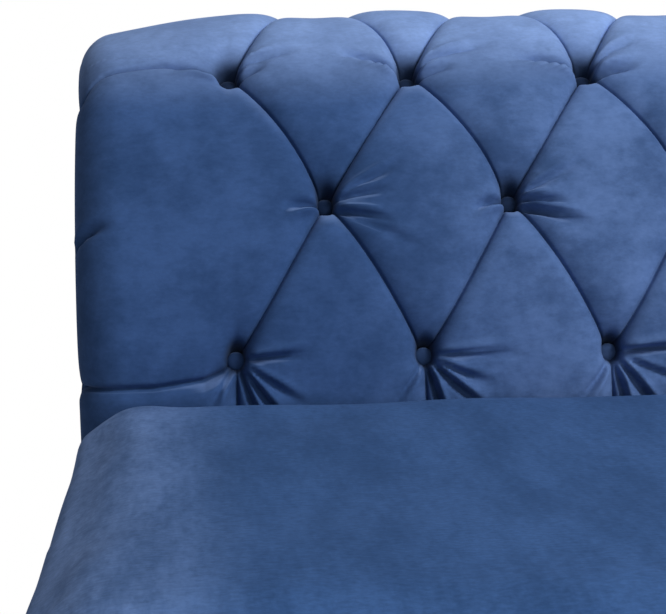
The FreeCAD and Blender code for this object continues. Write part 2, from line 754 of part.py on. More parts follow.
def save_panels():
    padding_side = rail_side_x + border_padding
    side_rear = panel_rear_y
    front_padding_y = border_front_y + cloth
    cover_side = half_width - side_inset
    save("front_border_cover", border(-cover_side, cover_side, border_front_y, front_padding_y))
    save("front_border_padding", border(-cover_side, cover_side, front_padding_y, rail_front_y))
    side_padding = border(-padding_side, -rail_side_x, rail_front_y, side_rear)
    side_cover = border(-cover_side, -padding_side, rail_front_y, side_rear)
    save("left_border_padding", side_padding)
    save("right_border_padding", mirrored(side_padding))
    save("left_border_cover", side_cover)
    save("right_border_cover", mirrored(side_cover))
    save("outside_back_board", outside_panel(panel_rear_y, outside_board))
    save("outside_back_cover", outside_panel(panel_rear_y + outside_board, cloth))
    panel_bottom = deck_cloth_bottom + fit_gap
    end_depth = foam_reach - rail_side_x - fit_gap
    end_padding = slab(back_outline(-foam_reach, end_padding_offset, panel_bottom), -foam_reach, end_depth)
    end_cover = slab(back_outline(-half_width, end_cover_offset, panel_bottom), -half_width, cloth)
    save("left_end_padding", end_padding)
    save("right_end_padding", mirrored(end_padding))
    save("left_end_cover", end_cover)
    save("right_end_cover", mirrored(end_cover))


os.makedirs("parts", exist_ok=True)
save_base()
save_legs()
save_seat()
save_back()
save_panels()
print(f"overall {overall_width:.0f} x {overall_depth:.1f} x {crest_z:.1f} mm")
print("legs at", {name: (round(x, 2), round(y, 2)) for name, (x, y) in leg_places.items()})
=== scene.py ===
# Armless chesterfield settee in blue velvet: buttoned back, bench cushion, padded borders, turned legs.
import bpy
import bmesh
import json
import math
import numpy as np
from mathutils import Matrix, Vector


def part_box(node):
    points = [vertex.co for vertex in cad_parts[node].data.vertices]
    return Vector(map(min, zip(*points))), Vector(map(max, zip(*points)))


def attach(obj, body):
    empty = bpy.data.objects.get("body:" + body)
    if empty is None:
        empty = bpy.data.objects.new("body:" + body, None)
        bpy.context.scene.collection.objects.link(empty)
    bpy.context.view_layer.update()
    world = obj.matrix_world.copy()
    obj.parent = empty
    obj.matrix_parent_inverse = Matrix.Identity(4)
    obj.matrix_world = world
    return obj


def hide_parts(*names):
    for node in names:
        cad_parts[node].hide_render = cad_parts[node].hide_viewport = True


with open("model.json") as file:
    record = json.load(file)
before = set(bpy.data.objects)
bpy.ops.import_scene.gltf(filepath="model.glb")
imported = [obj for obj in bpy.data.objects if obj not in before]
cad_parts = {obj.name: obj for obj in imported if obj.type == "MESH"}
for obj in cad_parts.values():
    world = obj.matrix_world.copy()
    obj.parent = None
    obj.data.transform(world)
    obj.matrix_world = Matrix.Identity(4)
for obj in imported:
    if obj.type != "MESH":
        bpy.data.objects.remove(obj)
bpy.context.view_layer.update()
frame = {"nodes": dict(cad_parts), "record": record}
mm = 0.001
nodes = frame["nodes"]
legNames = ("front_left_leg", "front_right_leg", "rear_left_leg", "rear_right_leg", "centre_leg")


def cadBounds(node):
    # lowest and highest corner of a frame node, in millimetres
    low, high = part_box(node)
    return np.array(low) / mm, np.array(high) / mm


# Small helpers for colours, nodes and meshes

def colour(hexCode):
    # sRGB hex to linear: divide by 12.92 near black, else the 2.4 power curve
    channels = [int(hexCode[i:i + 2], 16) / 255 for i in (0, 2, 4)]
    return [c / 12.92 if c <= 0.04045 else ((c + 0.055) / 1.055) ** 2.4 for c in channels] + [1.0]


def addNode(tree, kind, settings={}, values={}, links={}):
    # links come from a node's first output, or from the output that is given
    node = tree.nodes.new("ShaderNode" + kind)
    for name, value in settings.items():
        setattr(node, name, value)
    for socket, value in values.items():
        node.inputs[socket].default_value = value
    for socket, source in links.items():
        output = source.outputs[0] if isinstance(source, bpy.types.Node) else source
        tree.links.new(output, node.inputs[socket])
    return node


# node settings that several materials share
eased = {"interpolation_type": "SMOOTHSTEP"}
twoTones = {"data_type": "RGBA"}
times = {"operation": "MULTIPLY"}
larger = {"operation": "MAXIMUM"}


def newMaterial(name):
    material = bpy.data.materials.new(name)
    material.use_nodes = True
    material.node_tree.nodes.clear()
    tree = material.node_tree
    place = addNode(tree, "TexCoord").outputs["Object"]
    return material, tree, place


def perMetre(sizes):
    # pattern scale along each axis from real sizes in millimetres
    return [1 / (size * mm) for size in sizes]


def smooth(low, high, value):
    # smooth step: 0 below low, 1 above high, cubic between
    t = np.clip((value - low) / (high - low), 0.0, 1.0)
    return t * t * (3 - 2 * t)


def ramp(amount, low, high, value):
    # rises smoothly from 0 at low to the amount at high; settings of three hold these in order
    return amount * smooth(low, high, value)


def gridFaces(rows, columns, start=0):
    # quads of a rows by columns grid whose points follow one another row by row
    index = start + np.arange(rows * columns).reshape(rows, columns)
    return np.stack([index[:-1, :-1], index[:-1, 1:], index[1:, 1:], index[1:, :-1]], -1).reshape(-1, 4)


def rim(rows, columns, start=0):
    # the grid's border as one closed run of point numbers
    index = start + np.arange(rows * columns).reshape(rows, columns)
    return np.r_[index[0, :-1], index[:-1, -1], index[-1, :0:-1], index[:0:-1, 0]]


def flatGrid(low, high, axes, counts):
    # even grid over two axes of a box, and how far each point is from the nearest edge
    i, j = axes
    u, v = np.meshgrid(np.linspace(low[i], high[i], counts[0]), np.linspace(low[j], high[j], counts[1]))
    edge = np.minimum(np.minimum(u - low[i], high[i] - u), np.minimum(v - low[j], high[j] - v))
    return u, v, edge


def addObject(name, data):
    thing = bpy.data.objects.new(name, data)
    bpy.context.scene.collection.objects.link(thing)
    return thing


def addPiece(name, points, faces, slot, body="settee", material=None, flat=False, crushedAndShaded=None):
    # points in millimetres; doubles are merged and the faces turned outwards;
    # the darkening at each point, from crushed pile and from painted shade, is stored for the velvet to read
    mesh = bpy.data.meshes.new(name)
    mesh.from_pydata((np.asarray(points).reshape(-1, 3) * mm).tolist(), [], faces)
    if crushedAndShaded is not None:
        mesh.attributes.new("crushedAndShaded", "FLOAT", "POINT").data.foreach_set("value", crushedAndShaded)
    work = bmesh.new()
    work.from_mesh(mesh)
    bmesh.ops.remove_doubles(work, verts=work.verts, dist=0.02 * mm)
    bmesh.ops.recalc_face_normals(work, faces=work.faces)
    work.to_mesh(mesh)
    work.free()
    mesh.polygons.foreach_set("use_smooth", np.full(len(mesh.polygons), not flat))
    mesh.materials.append(material or finishes[slot])
    piece = addObject(name, mesh)
    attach(piece, body)
    return piece


def addGrid(name, grid, slot, body="settee", material=None):
    # one grid of points as a piece
    return addPiece(name, grid, gridFaces(*grid.shape[:2]).tolist(), slot, body, material)


def addSlab(name, outer, inner, slot):
    # two grids back to back, joined round their rims
    rows, columns = outer.shape[:2]
    count = rows * columns
    front, back = rim(rows, columns), rim(rows, columns, count)
    wall = np.stack([front, np.roll(front, -1), np.roll(back, -1), back], -1)
    faces = np.concatenate([gridFaces(rows, columns), gridFaces(rows, columns, count)[:, ::-1], wall])
    points = np.concatenate([outer.reshape(-1, 3), inner.reshape(-1, 3)])
    return addPiece(name, points, faces.tolist(), slot)


def thicken(piece, thickness, offset):
    # gives a sheet its thickness, on the side that the offset says
    wall = piece.modifiers.new("thickness", "SOLIDIFY")
    wall.thickness = thickness * mm
    wall.offset = offset


def meshPoints(mesh):
    # all points of a mesh as one array
    points = np.empty(len(mesh.vertices) * 3)
    mesh.vertices.foreach_get("co", points)
    return points.reshape(-1, 3)


def gentleLumps(x, s, seed, size):
    # a few long sine waves with seeded directions, phases and lengths about the given size
    rng = np.random.default_rng(seed)
    total = np.zeros_like(x)
    for _ in range(9):
        angle, phase = rng.uniform(0, 2 * np.pi), rng.uniform(0, 2 * np.pi)
        length = size * rng.uniform(0.6, 1.8)
        total += np.sin(2 * np.pi * (x * np.cos(angle) + s * np.sin(angle)) / length + phase)
    return total / 3


# Materials

def polyesterVelvet(name, deep, brushed, cloud, drawn, sheen, brushedAndLitPatch, upwardHighlight, fibre):
    # cut-pile polyester velvet: dark face on, cloudy where the nap is brushed, a pale edge where light grazes
    # it;
    # painted highlights make it paler over the top of the roll, put down in part to the bent cloth opening
    # the pile, on surfaces that face upwards, and in a patch partly brushed by hand; painted shade darkens it
    # in pits and pleats, where the pile is also crushed, and along the cushion's sewn edges
    material, tree, place = newMaterial(name)
    drift = addNode(tree, "Mapping", values={"Scale": perMetre(cloud)}, links={"Vector": place})
    blotch = addNode(tree, "TexNoise", values={"Scale": 1.0, "Detail": 5.0, "Roughness": 0.62},
                     links={"Vector": drift})
    combed = addNode(tree, "Mapping", values={"Scale": perMetre(drawn)}, links={"Vector": place})
    strokes = addNode(tree, "TexNoise", values={"Scale": 1.0, "Detail": 4.0, "Roughness": 0.6},
                      links={"Vector": combed})
    blend = addNode(tree, "Math", {"operation": "MULTIPLY_ADD"}, {1: 0.35}, {0: strokes, 2: blotch})
    spread = addNode(tree, "MapRange", eased, {"From Min": 0.45, "From Max": 0.92}, {"Value": blend})
    dye = addNode(tree, "Mix", twoTones, {6: colour(deep), 7: colour(brushed)}, {0: spread})
    spot = addNode(tree, "SeparateXYZ", links={0: place})
    # painted highlight over the top of the roll, put down in part to the bent cloth opening the pile
    rollHighlight = addNode(tree, "MapRange", eased, {"From Min": 0.694, "From Max": 0.79, "To Max": 0.95},
                     {"Value": spot.outputs["Z"]})
    uneven = addNode(tree, "MapRange", values={"To Min": 0.72, "To Max": 1.1}, links={"Value": spread})
    share = addNode(tree, "Math", times, links={0: rollHighlight, 1: uneven})
    # a patch along X made paler, partly nap brushed by hand and partly a painted highlight
    start, full, strength = brushedAndLitPatch
    patched = addNode(tree, "MapRange", eased,
                      {"From Min": start * mm, "From Max": full * mm, "To Max": strength},
                      {"Value": spot.outputs["X"]})
    clouded = addNode(tree, "MapRange", values={"To Min": 0.3}, links={"Value": spread})
    brushedAndLitShare = addNode(tree, "Math", times, links={0: patched, 1: clouded})
    rollAndPatchHighlight = addNode(tree, "Math", larger, links={0: share, 1: brushedAndLitShare})
    # painted highlight on surfaces that face upwards, such as the lips of the pads
    surface = addNode(tree, "NewGeometry")
    facing = addNode(tree, "SeparateXYZ", links={0: surface.outputs["Normal"]})
    upwardLit = addNode(tree, "MapRange", eased, {"From Min": 0.62, "From Max": 0.98, "To Max": upwardHighlight},
                     {"Value": facing.outputs["Z"]})
    lighter = addNode(tree, "Math", larger, links={0: rollAndPatchHighlight, 1: upwardLit})
    # the painted highlights and the patch mix towards pale blue
    pale = addNode(tree, "Mix", twoTones, {7: colour("8dabe2")}, {0: lighter, 6: dye.outputs[2]})
    # painted shade, with some crushed pile in the pits, mixes towards near-black blue where the attribute
    # marks it
    crushedAndShaded = addNode(tree, "Attribute", {"attribute_name": "crushedAndShaded"})
    darker = addNode(tree, "Mix", twoTones, {7: colour("0e1a30")},
                     {0: crushedAndShaded.outputs["Fac"], 6: pale.outputs[2]})
    # single fibres are too fine to show, so their tufts are drawn 6 by 3 mm
    tufts = addNode(tree, "Mapping", values={"Scale": perMetre((6, 3, 3))}, links={"Vector": place})
    speckle = addNode(tree, "TexNoise", values={"Scale": 1.0, "Detail": 3.0, "Roughness": 0.65},
                      links={"Vector": tufts})
    fleck = addNode(tree, "MapRange",
                    values={"From Min": 0.3, "From Max": 0.7, "To Min": 1 - fibre, "To Max": 1 + fibre},
                    links={"Value": speckle})
    flecked = addNode(tree, "VectorMath", {"operation": "SCALE"},
                      links={0: darker.outputs[2], "Scale": fleck})
    pile = addNode(tree, "TexNoise", values={"Scale": 1 / 0.0022, "Detail": 2.0}, links={"Vector": place})
    relief = addNode(tree, "Bump", values={"Strength": 0.12, "Distance": 0.0006}, links={"Height": pile})
    shader = addNode(tree, "BsdfPrincipled",
                     values={"Roughness": 0.9, "Specular IOR Level": 0.05, "Sheen Weight": sheen,
                             "Sheen Roughness": 0.4, "Sheen Tint": colour("a9c2f2")},
                     links={"Base Color": flecked, "Normal": relief})
    addNode(tree, "OutputMaterial", links={"Surface": shader})
    return material


def plainMaterial(name, dark, light, grain, stretch, roughness, bump, metal=0.0):
    # two tones mixed by noise of the given grain in millimetres, drawn out along each axis by stretch
    material, tree, place = newMaterial(name)
    drawn = addNode(tree, "Mapping", values={"Scale": perMetre([grain * s for s in stretch])},
                    links={"Vector": place})
    figure = addNode(tree, "TexNoise", values={"Scale": 1.0, "Detail": 5.0, "Roughness": 0.6},
                     links={"Vector": drawn})
    tone = addNode(tree, "Mix", twoTones, {6: colour(dark), 7: colour(light)}, {0: figure})
    relief = addNode(tree, "Bump", values={"Strength": bump, "Distance": 0.0005},
                     links={"Height": figure})
    shader = addNode(tree, "BsdfPrincipled", values={"Roughness": roughness, "Metallic": metal},
                     links={"Base Color": tone.outputs[2], "Normal": relief})
    addNode(tree, "OutputMaterial", links={"Surface": shader})
    return material


# clouds, strokes and patch in millimetres; a patch has the X where it starts and is full, and its strength;
# the patch is paler partly by brushed nap and partly as a painted highlight, and the upward strength is a
# painted highlight on surfaces that face up
velvet = polyesterVelvet("polyesterVelvet", "2d4772", "3d5a8c", cloud=(75, 75, 75), drawn=(16, 24, 9),
                         sheen=0.16, brushedAndLitPatch=(-600, -330, 0.24), upwardHighlight=0.33, fibre=0.07)
seatVelvet = polyesterVelvet("brushedSeatVelvet", "2e4b77", "3c5c8e", cloud=(55, 190, 75), drawn=(6, 22, 9),
                             sheen=0.05, brushedAndLitPatch=(-648, -795, 0.62), upwardHighlight=0.0, fibre=0.15)
# by slot: name, dark and light tone, grain, stretch, roughness, bump and metallic
looks = {
    # sawn and planed beech, fine straight grain
    "hardwood": ("planedBeech", "b08858", "d6b084", 6, (30, 1, 1), 0.6, 0.2),
    # birch plywood, pale with a wide soft figure
    "plywood": ("birchPlywood", "c09a68", "e2c79b", 25, (1, 1, 6), 0.6, 0.15),
    # walnut-stained beech under satin lacquer, grain along the leg
    "stained_leg": ("stainedBeech", "1d100a", "3d2416", 4, (1, 1, 22), 0.28, 0.12),
    # zinc-plated steel, cool grey with a faint spangle
    "zinc_steel": ("zincPlatedSteel", "a9adb4", "cfd3d8", 3, (1, 1, 1), 0.35, 0.05, 1.0),
    # oiled spring steel, dark grey
    "spring_steel": ("oiledSpringSteel", "43464b", "6b6f76", 5, (1, 1, 1), 0.4, 0.05, 1.0),
    # needled felt, mottled grey fibres
    "felt": ("needledFelt", "6f6a62", "a59e92", 3, (1, 1, 1), 0.95, 0.6),
    # spunbond lining, black and faintly mottled
    "black_lining": ("spunbondLining", "0c0c0e", "26262a", 2, (1, 1, 1), 0.8, 0.4),
    # waxed cotton twine
    "twine": ("waxedTwine", "b9a67f", "d8c8a4", 2, (1, 1, 1), 0.8, 0.4),
    # moulded nylon glide
    "nylon_glide": ("mouldedNylon", "0d0d0e", "1c1c1e", 4, (1, 1, 1), 0.5, 0.1),
}
finishes = {slot: plainMaterial(*look) for slot, look in looks.items()}
for part in frame["record"]["subparts"]:
    finish = finishes.get(part["material_slot"])
    if finish:
        nodes[part["node"]].data.materials.clear()
        nodes[part["node"]].data.materials.append(finish)
finishes["blue_velvet"] = velvet
print("materials made")

# The back's outline, shared by everything that follows it

coverLow, coverHigh = cadBounds("inside_back_cover")
outline = {
    "upright": 134.0,  # straight part behind the cushion
    "leanRadius": 455.0,
    "leanAngle": math.radians(47.0),
    "crestRadius": 135.0,
    "scrollRadius": 95.0,
    "tuckAngle": math.radians(235.0),
    "faceY": coverLow[1],
    "deckZ": coverLow[2],
    "crestZ": coverHigh[2],
    "halfWidth": coverHigh[0],
}
leanLength = outline["leanRadius"] * outline["leanAngle"]
crestLength = outline["crestRadius"] * (math.pi / 2 - outline["leanAngle"])
tuckLength = leanLength + crestLength + outline["scrollRadius"] * (outline["tuckAngle"] - math.pi / 2)
leanStartZ = outline["deckZ"] + outline["upright"]
crestY = (outline["faceY"] + outline["leanRadius"] * (1 - math.cos(outline["leanAngle"]))
          + outline["crestRadius"] * math.cos(outline["leanAngle"]))
scrollZ = outline["crestZ"] - outline["scrollRadius"]


def backProfile(length, inset):
    # along the outline: upright, lean arc, crest arc, scroll arc; inset goes in along the normal
    lean, crest, scroll = outline["leanRadius"], outline["crestRadius"], outline["scrollRadius"]
    onLean = length <= leanLength
    onCrest = (length > leanLength) & (length <= leanLength + crestLength)
    angle = np.select([onLean, onCrest],
                      [np.maximum(length, 0) / lean, outline["leanAngle"] + (length - leanLength) / crest],
                      math.pi / 2 + (length - leanLength - crestLength) / scroll)
    centreY = np.where(onLean, outline["faceY"] + lean, crestY)
    centreZ = np.select([onLean, onCrest],
                        [leanStartZ + np.minimum(length, 0), outline["crestZ"] - crest], scrollZ)
    reach = np.select([onLean, onCrest], [lean, crest], scroll) - inset
    return centreY - reach * np.cos(angle), centreZ + reach * np.sin(angle), angle


def tuckPoint(inset):
    # where the scroll ends under the roll, this far in from its face
    reach = outline["scrollRadius"] - inset
    return crestY - reach * math.cos(outline["tuckAngle"]), scrollZ + reach * math.sin(outline["tuckAngle"])


# Inside back: one velvet cover over foam, drawn in by buttons

tuft = {
    "gaps": 8,  # spaces between button columns
    "spacing": 165.0,
    "firstColumn": -660.0,
    "rows": (544.5, 354.5, 214.5, 68.5),  # rows 0 to 3 along the outline, row 0 behind the crest
    "lattice": 100,  # mesh steps per column
    "crowding": 0.5,  # mesh lines gather at the creases
    "padDepth": 22.0,  # full pads to the creases' lowest part
    "creaseLevel": 0.62,  # how full the pads are along the middle of a crease
    "buttonPull": 22.0,  # how far along a crease the button draws it down
    "pitDepth": 24.0,  # the button's own pit below that
    "pitWidth": (7.0, 9.2, 6.8, 7.4),  # by row
    "pitFall": (9.0, 14.5, 10.7, 7.5),  # by row: how far it reaches down
    "pitRise": 14.0,  # the pit reaches further up than down
    "pitWall": (2.6, 4.0),  # steepness of its wall above and below
    "funnel": (8.0, 15.0, 13.0, 6.0),  # by row: the pad above narrows into the pit
    "funnelReach": 32.0,
    "funnelWidth": (6.0, 0.32),  # at the button, and more for each millimetre above it
    "lipScale": 5.0,  # the lower pad rolls into its crease over this width
    "slopeScale": 9.0,  # the upper pad slopes into it more slowly
    "dome": 0.16,  # share of the pad's height that is one soft dome
    "slit": 2.8,
    "slitWidth": 1.1,
    "endSlit": (5.0, 5, 40),  # the end pleats are tighter
    "bowBack": (6.0, 5.5, 4.0),  # creases that fall to the right bow up, rows 0 to 3
    "bowForward": (-3.0, -2.0, -1.0),
    "bowFade": 45.0,
    "endFade": 0.14,  # pleat depth left at the ends, below and behind
    "tailFade": 0.45,
    "fadeLength": 34.0,
    "endWiden": 70.0,  # pads double in width this far past the end column
    "tailLap": 22.0,  # below the lowest row each tail laps over the next
    "cornerFade": 14.0,
    "padding": 70.0,
    "rearInset": 4.0,
    "hem": 6.0,  # cloth carried on past the tuck
    "endRound": 45.0,
    "rollSharper": (-17.0, 330, 420),  # the roll's ends turn more sharply
    "endTuck": 20.0,
    "endNarrow": (3.5, 1.6, 4.2),  # the ends come in towards the seat
    "rollNarrow": (1.5, 1.1, 0.9),  # and above the top pleat
    "crestDrop": (26.0, 330, 450),  # the crest falls towards the ends
    "crestDropReach": 180.0,
    "crestDropEnd": (1.0, -20, -150),  # and comes back up before the tuck
    "crownDip": (5.5, 400, 470),  # the crest dips where a pad narrows towards row 0
    "rollFullness": (2.0, 380, 460),  # the roll stands this much fuller than the plain outline
    "lumps": (1.2, 120, 60),  # soft unevenness, which fades out past the end columns
    "lumpSize": 130.0,
    "crushAndShade": (0.85, 11.0, 27.0),  # how dark the painted shade, with the crushed pile, goes in the deepest pits
    "furrowDraw": (9, 0.25, 4, 0.3),  # seeded change of direction, length, bend and depth
    "seed": 11,
}
# run of the two end pleats: distance out from the first column, and rise above the row
topPleat = ((0, 0), (33, 4), (58, 7), (83, 3), (100, -1), (116, -5), (128, -11), (140, -21), (240, -24))
lowPleat = ((0, -4), (28, -16), (71, -21.5), (132, -22), (240, -22))
# furrows from each row's buttons: direction in degrees, length, bend, depth, width, root above the button
furrows = {
    0: ((20, 50, 6, 6, 4, 0), (160, 50, -6, 6, 4, 0)),
    1: ((155, 62, 9, 18, 5.2, -8), (14, 54, -4, 12, 5.0, -8), (38, 95, -16, 8, 4.6, 0),
        (172, 90, 9, 2, 7, 0)),
    2: ((-9, 66, -6, 12, 3.6, -9), (184, 36, 6, 17, 4.4, -3), (27, 84, 6, 7, 4.0, 0), (2, 62, -2, 9, 3.8, -1),
        (-20, 95, -4, 4, 5.0, -8)),
    3: ((0, 84, -4, 13, 4, 0), (-52, 68, 3, 11, 4, 0), (-27, 84, 4, 7, 4, 0), (-125, 60, -4, 5, 4, 0),
        (-78, 72, 0, 8, 3.6, 0)),
}
# a short fold pulled round each end: start past the first column and along the outline, then its run
endFold = {"start": 168.0, "length": 175.0, "turn": 32.0, "reach": 68.0, "bend": -22.0, "depth": 12.0,
           "width": 5.6, "ridge": 0.1}


def rowsToLength(row):
    # rows 0 to 3 to millimetres along the outline, carried on past both ends at the same pitch
    rows = np.array(tuft["rows"])
    middle = np.interp(row, np.arange(4), rows)
    return middle + np.maximum(-row, 0) * (rows[0] - rows[1]) - np.maximum(row - 3, 0) * (rows[2] - rows[3])


def padHeight(p, q, width, tailShare):
    # p and q run 0 to 1 between creases; a pad rises quickly from its lower side and slowly from its upper,
    # each crease is itself drawn down where it nears a button, and a tail laps over from its left
    def rise(t, near, far):
        shoulder = (1 - np.exp(-t * width / near)) * (1 - np.exp(-(1 - t) * width / far))
        return (1 - tuft["dome"]) * shoulder + tuft["dome"] * np.sin(np.pi * t)

    def along(t):
        pull = tuft["buttonPull"]
        level = tuft["creaseLevel"] * (1 - np.exp(-t * width / pull))
        return level * (1 - np.exp(-(1 - t) * width / pull))

    acrossP = rise(p, tuft["lipScale"], tuft["slopeScale"])
    acrossP = acrossP + (1 - acrossP) * tailShare
    acrossQ = rise(q, tuft["slopeScale"], tuft["lipScale"])
    return (1 - (1 - along(q)) * (1 - acrossP)) * (1 - (1 - along(p)) * (1 - acrossQ))


def bowOf(series, row):
    # the bow of this row's creases, and none past the rows that are given
    known = np.array(series + (0.0,))
    inside = (row >= 0) & (row < len(series))
    return known[np.where(inside, row, len(series)).astype(int)]


def buttonPlaces():
    # column position and row of every button: odd rows on the columns, even rows between them
    places = []
    for row in range(4):
        shift = 0.0 if row % 2 else 0.5
        count = tuft["gaps"] + row % 2
        places += [(tuft["firstColumn"] + (i + shift) * tuft["spacing"], row) for i in range(count)]
    return places


def buttonPits(flatX, flatS):
    # a bell round each button, steeper below, and a funnel above it that widens and fades upwards
    depth = np.zeros_like(flatX)
    narrowest, flare = tuft["funnelWidth"]
    for x, row in buttonPlaces():
        dx, ds = flatX - x, flatS - tuft["rows"][row]
        above = ds > 0
        reach = np.where(above, tuft["pitRise"], tuft["pitFall"][row])
        away = np.hypot(dx / tuft["pitWidth"][row], ds / reach)
        depth += tuft["pitDepth"] * np.exp(-away ** np.where(above, *tuft["pitWall"]))
        spread = narrowest + flare * np.maximum(ds, 0)
        fall = np.where(above, tuft["funnelReach"], tuft["pitFall"][row])
        depth += tuft["funnel"][row] * np.exp(-(dx / spread) ** 2 - (ds / fall) ** 2)
    return depth


def groove(dx, ds, turn, bend, reach, deep, width, ridge=0.45):
    # a bent groove of Gaussian section beside a low ridge, fading in at its root and out to its tip
    share = (dx * math.cos(turn) + ds * math.sin(turn)) / reach
    across = ds * math.cos(turn) - dx * math.sin(turn) - bend * share ** 2
    spread = width * (0.5 + 0.6 * np.clip(share, 0, 1))
    shape = np.exp(-(across / spread) ** 2) - ridge * np.exp(-((across - 1.9 * spread) / spread) ** 2)
    return deep * shape * smooth(0.06, 0.28, share) * (1 - smooth(0.45, 1.0, share))


def furrowDepth(flatX, flatS):
    # grooves that run out from the buttons, varied a little by a seeded draw, and one fold at each end
    rng = np.random.default_rng(tuft["seed"])
    inward = endFold["start"] - np.abs(flatX) - tuft["firstColumn"]
    depth = groove(inward, flatS - endFold["length"], math.radians(endFold["turn"]), endFold["bend"],
                   endFold["reach"], endFold["depth"], endFold["width"], endFold["ridge"])
    for x, row in buttonPlaces():
        dx, ds = flatX - x, flatS - tuft["rows"][row]
        for turn, reach, bend, deep, width, lift in furrows[row]:
            byTurn, byReach, byBend, byDepth = rng.uniform(-1, 1, 4) * tuft["furrowDraw"]
            depth += groove(dx, ds - lift, math.radians(turn + byTurn), bend + byBend, reach * (1 + byReach),
                            deep * (1 + byDepth), width)
    return depth


def backLattice():
    # column and row of every mesh point, carried on past the ends, the tuck and the deck
    gaps, n, rows = tuft["gaps"], tuft["lattice"], tuft["rows"]
    sideRun = math.pi / 2 * tuft["endRound"] - tuft["endRound"] + tuft["endTuck"]
    outside = (outline["halfWidth"] + tuft["firstColumn"] + sideRun) / tuft["spacing"]
    lastRow = 3 + (rows[3] + outline["upright"]) / (rows[2] - rows[3])
    firstRow = 1 - (tuckLength + tuft["hem"] - rows[1]) / (rows[0] - rows[1])
    column = np.arange(-math.ceil(outside * n), math.ceil((gaps + outside) * n) + 1) / n
    row = np.arange(math.floor(firstRow * n / 2), math.floor(lastRow * n / 2) + 1) * 2 / n
    return np.meshgrid(column, row)


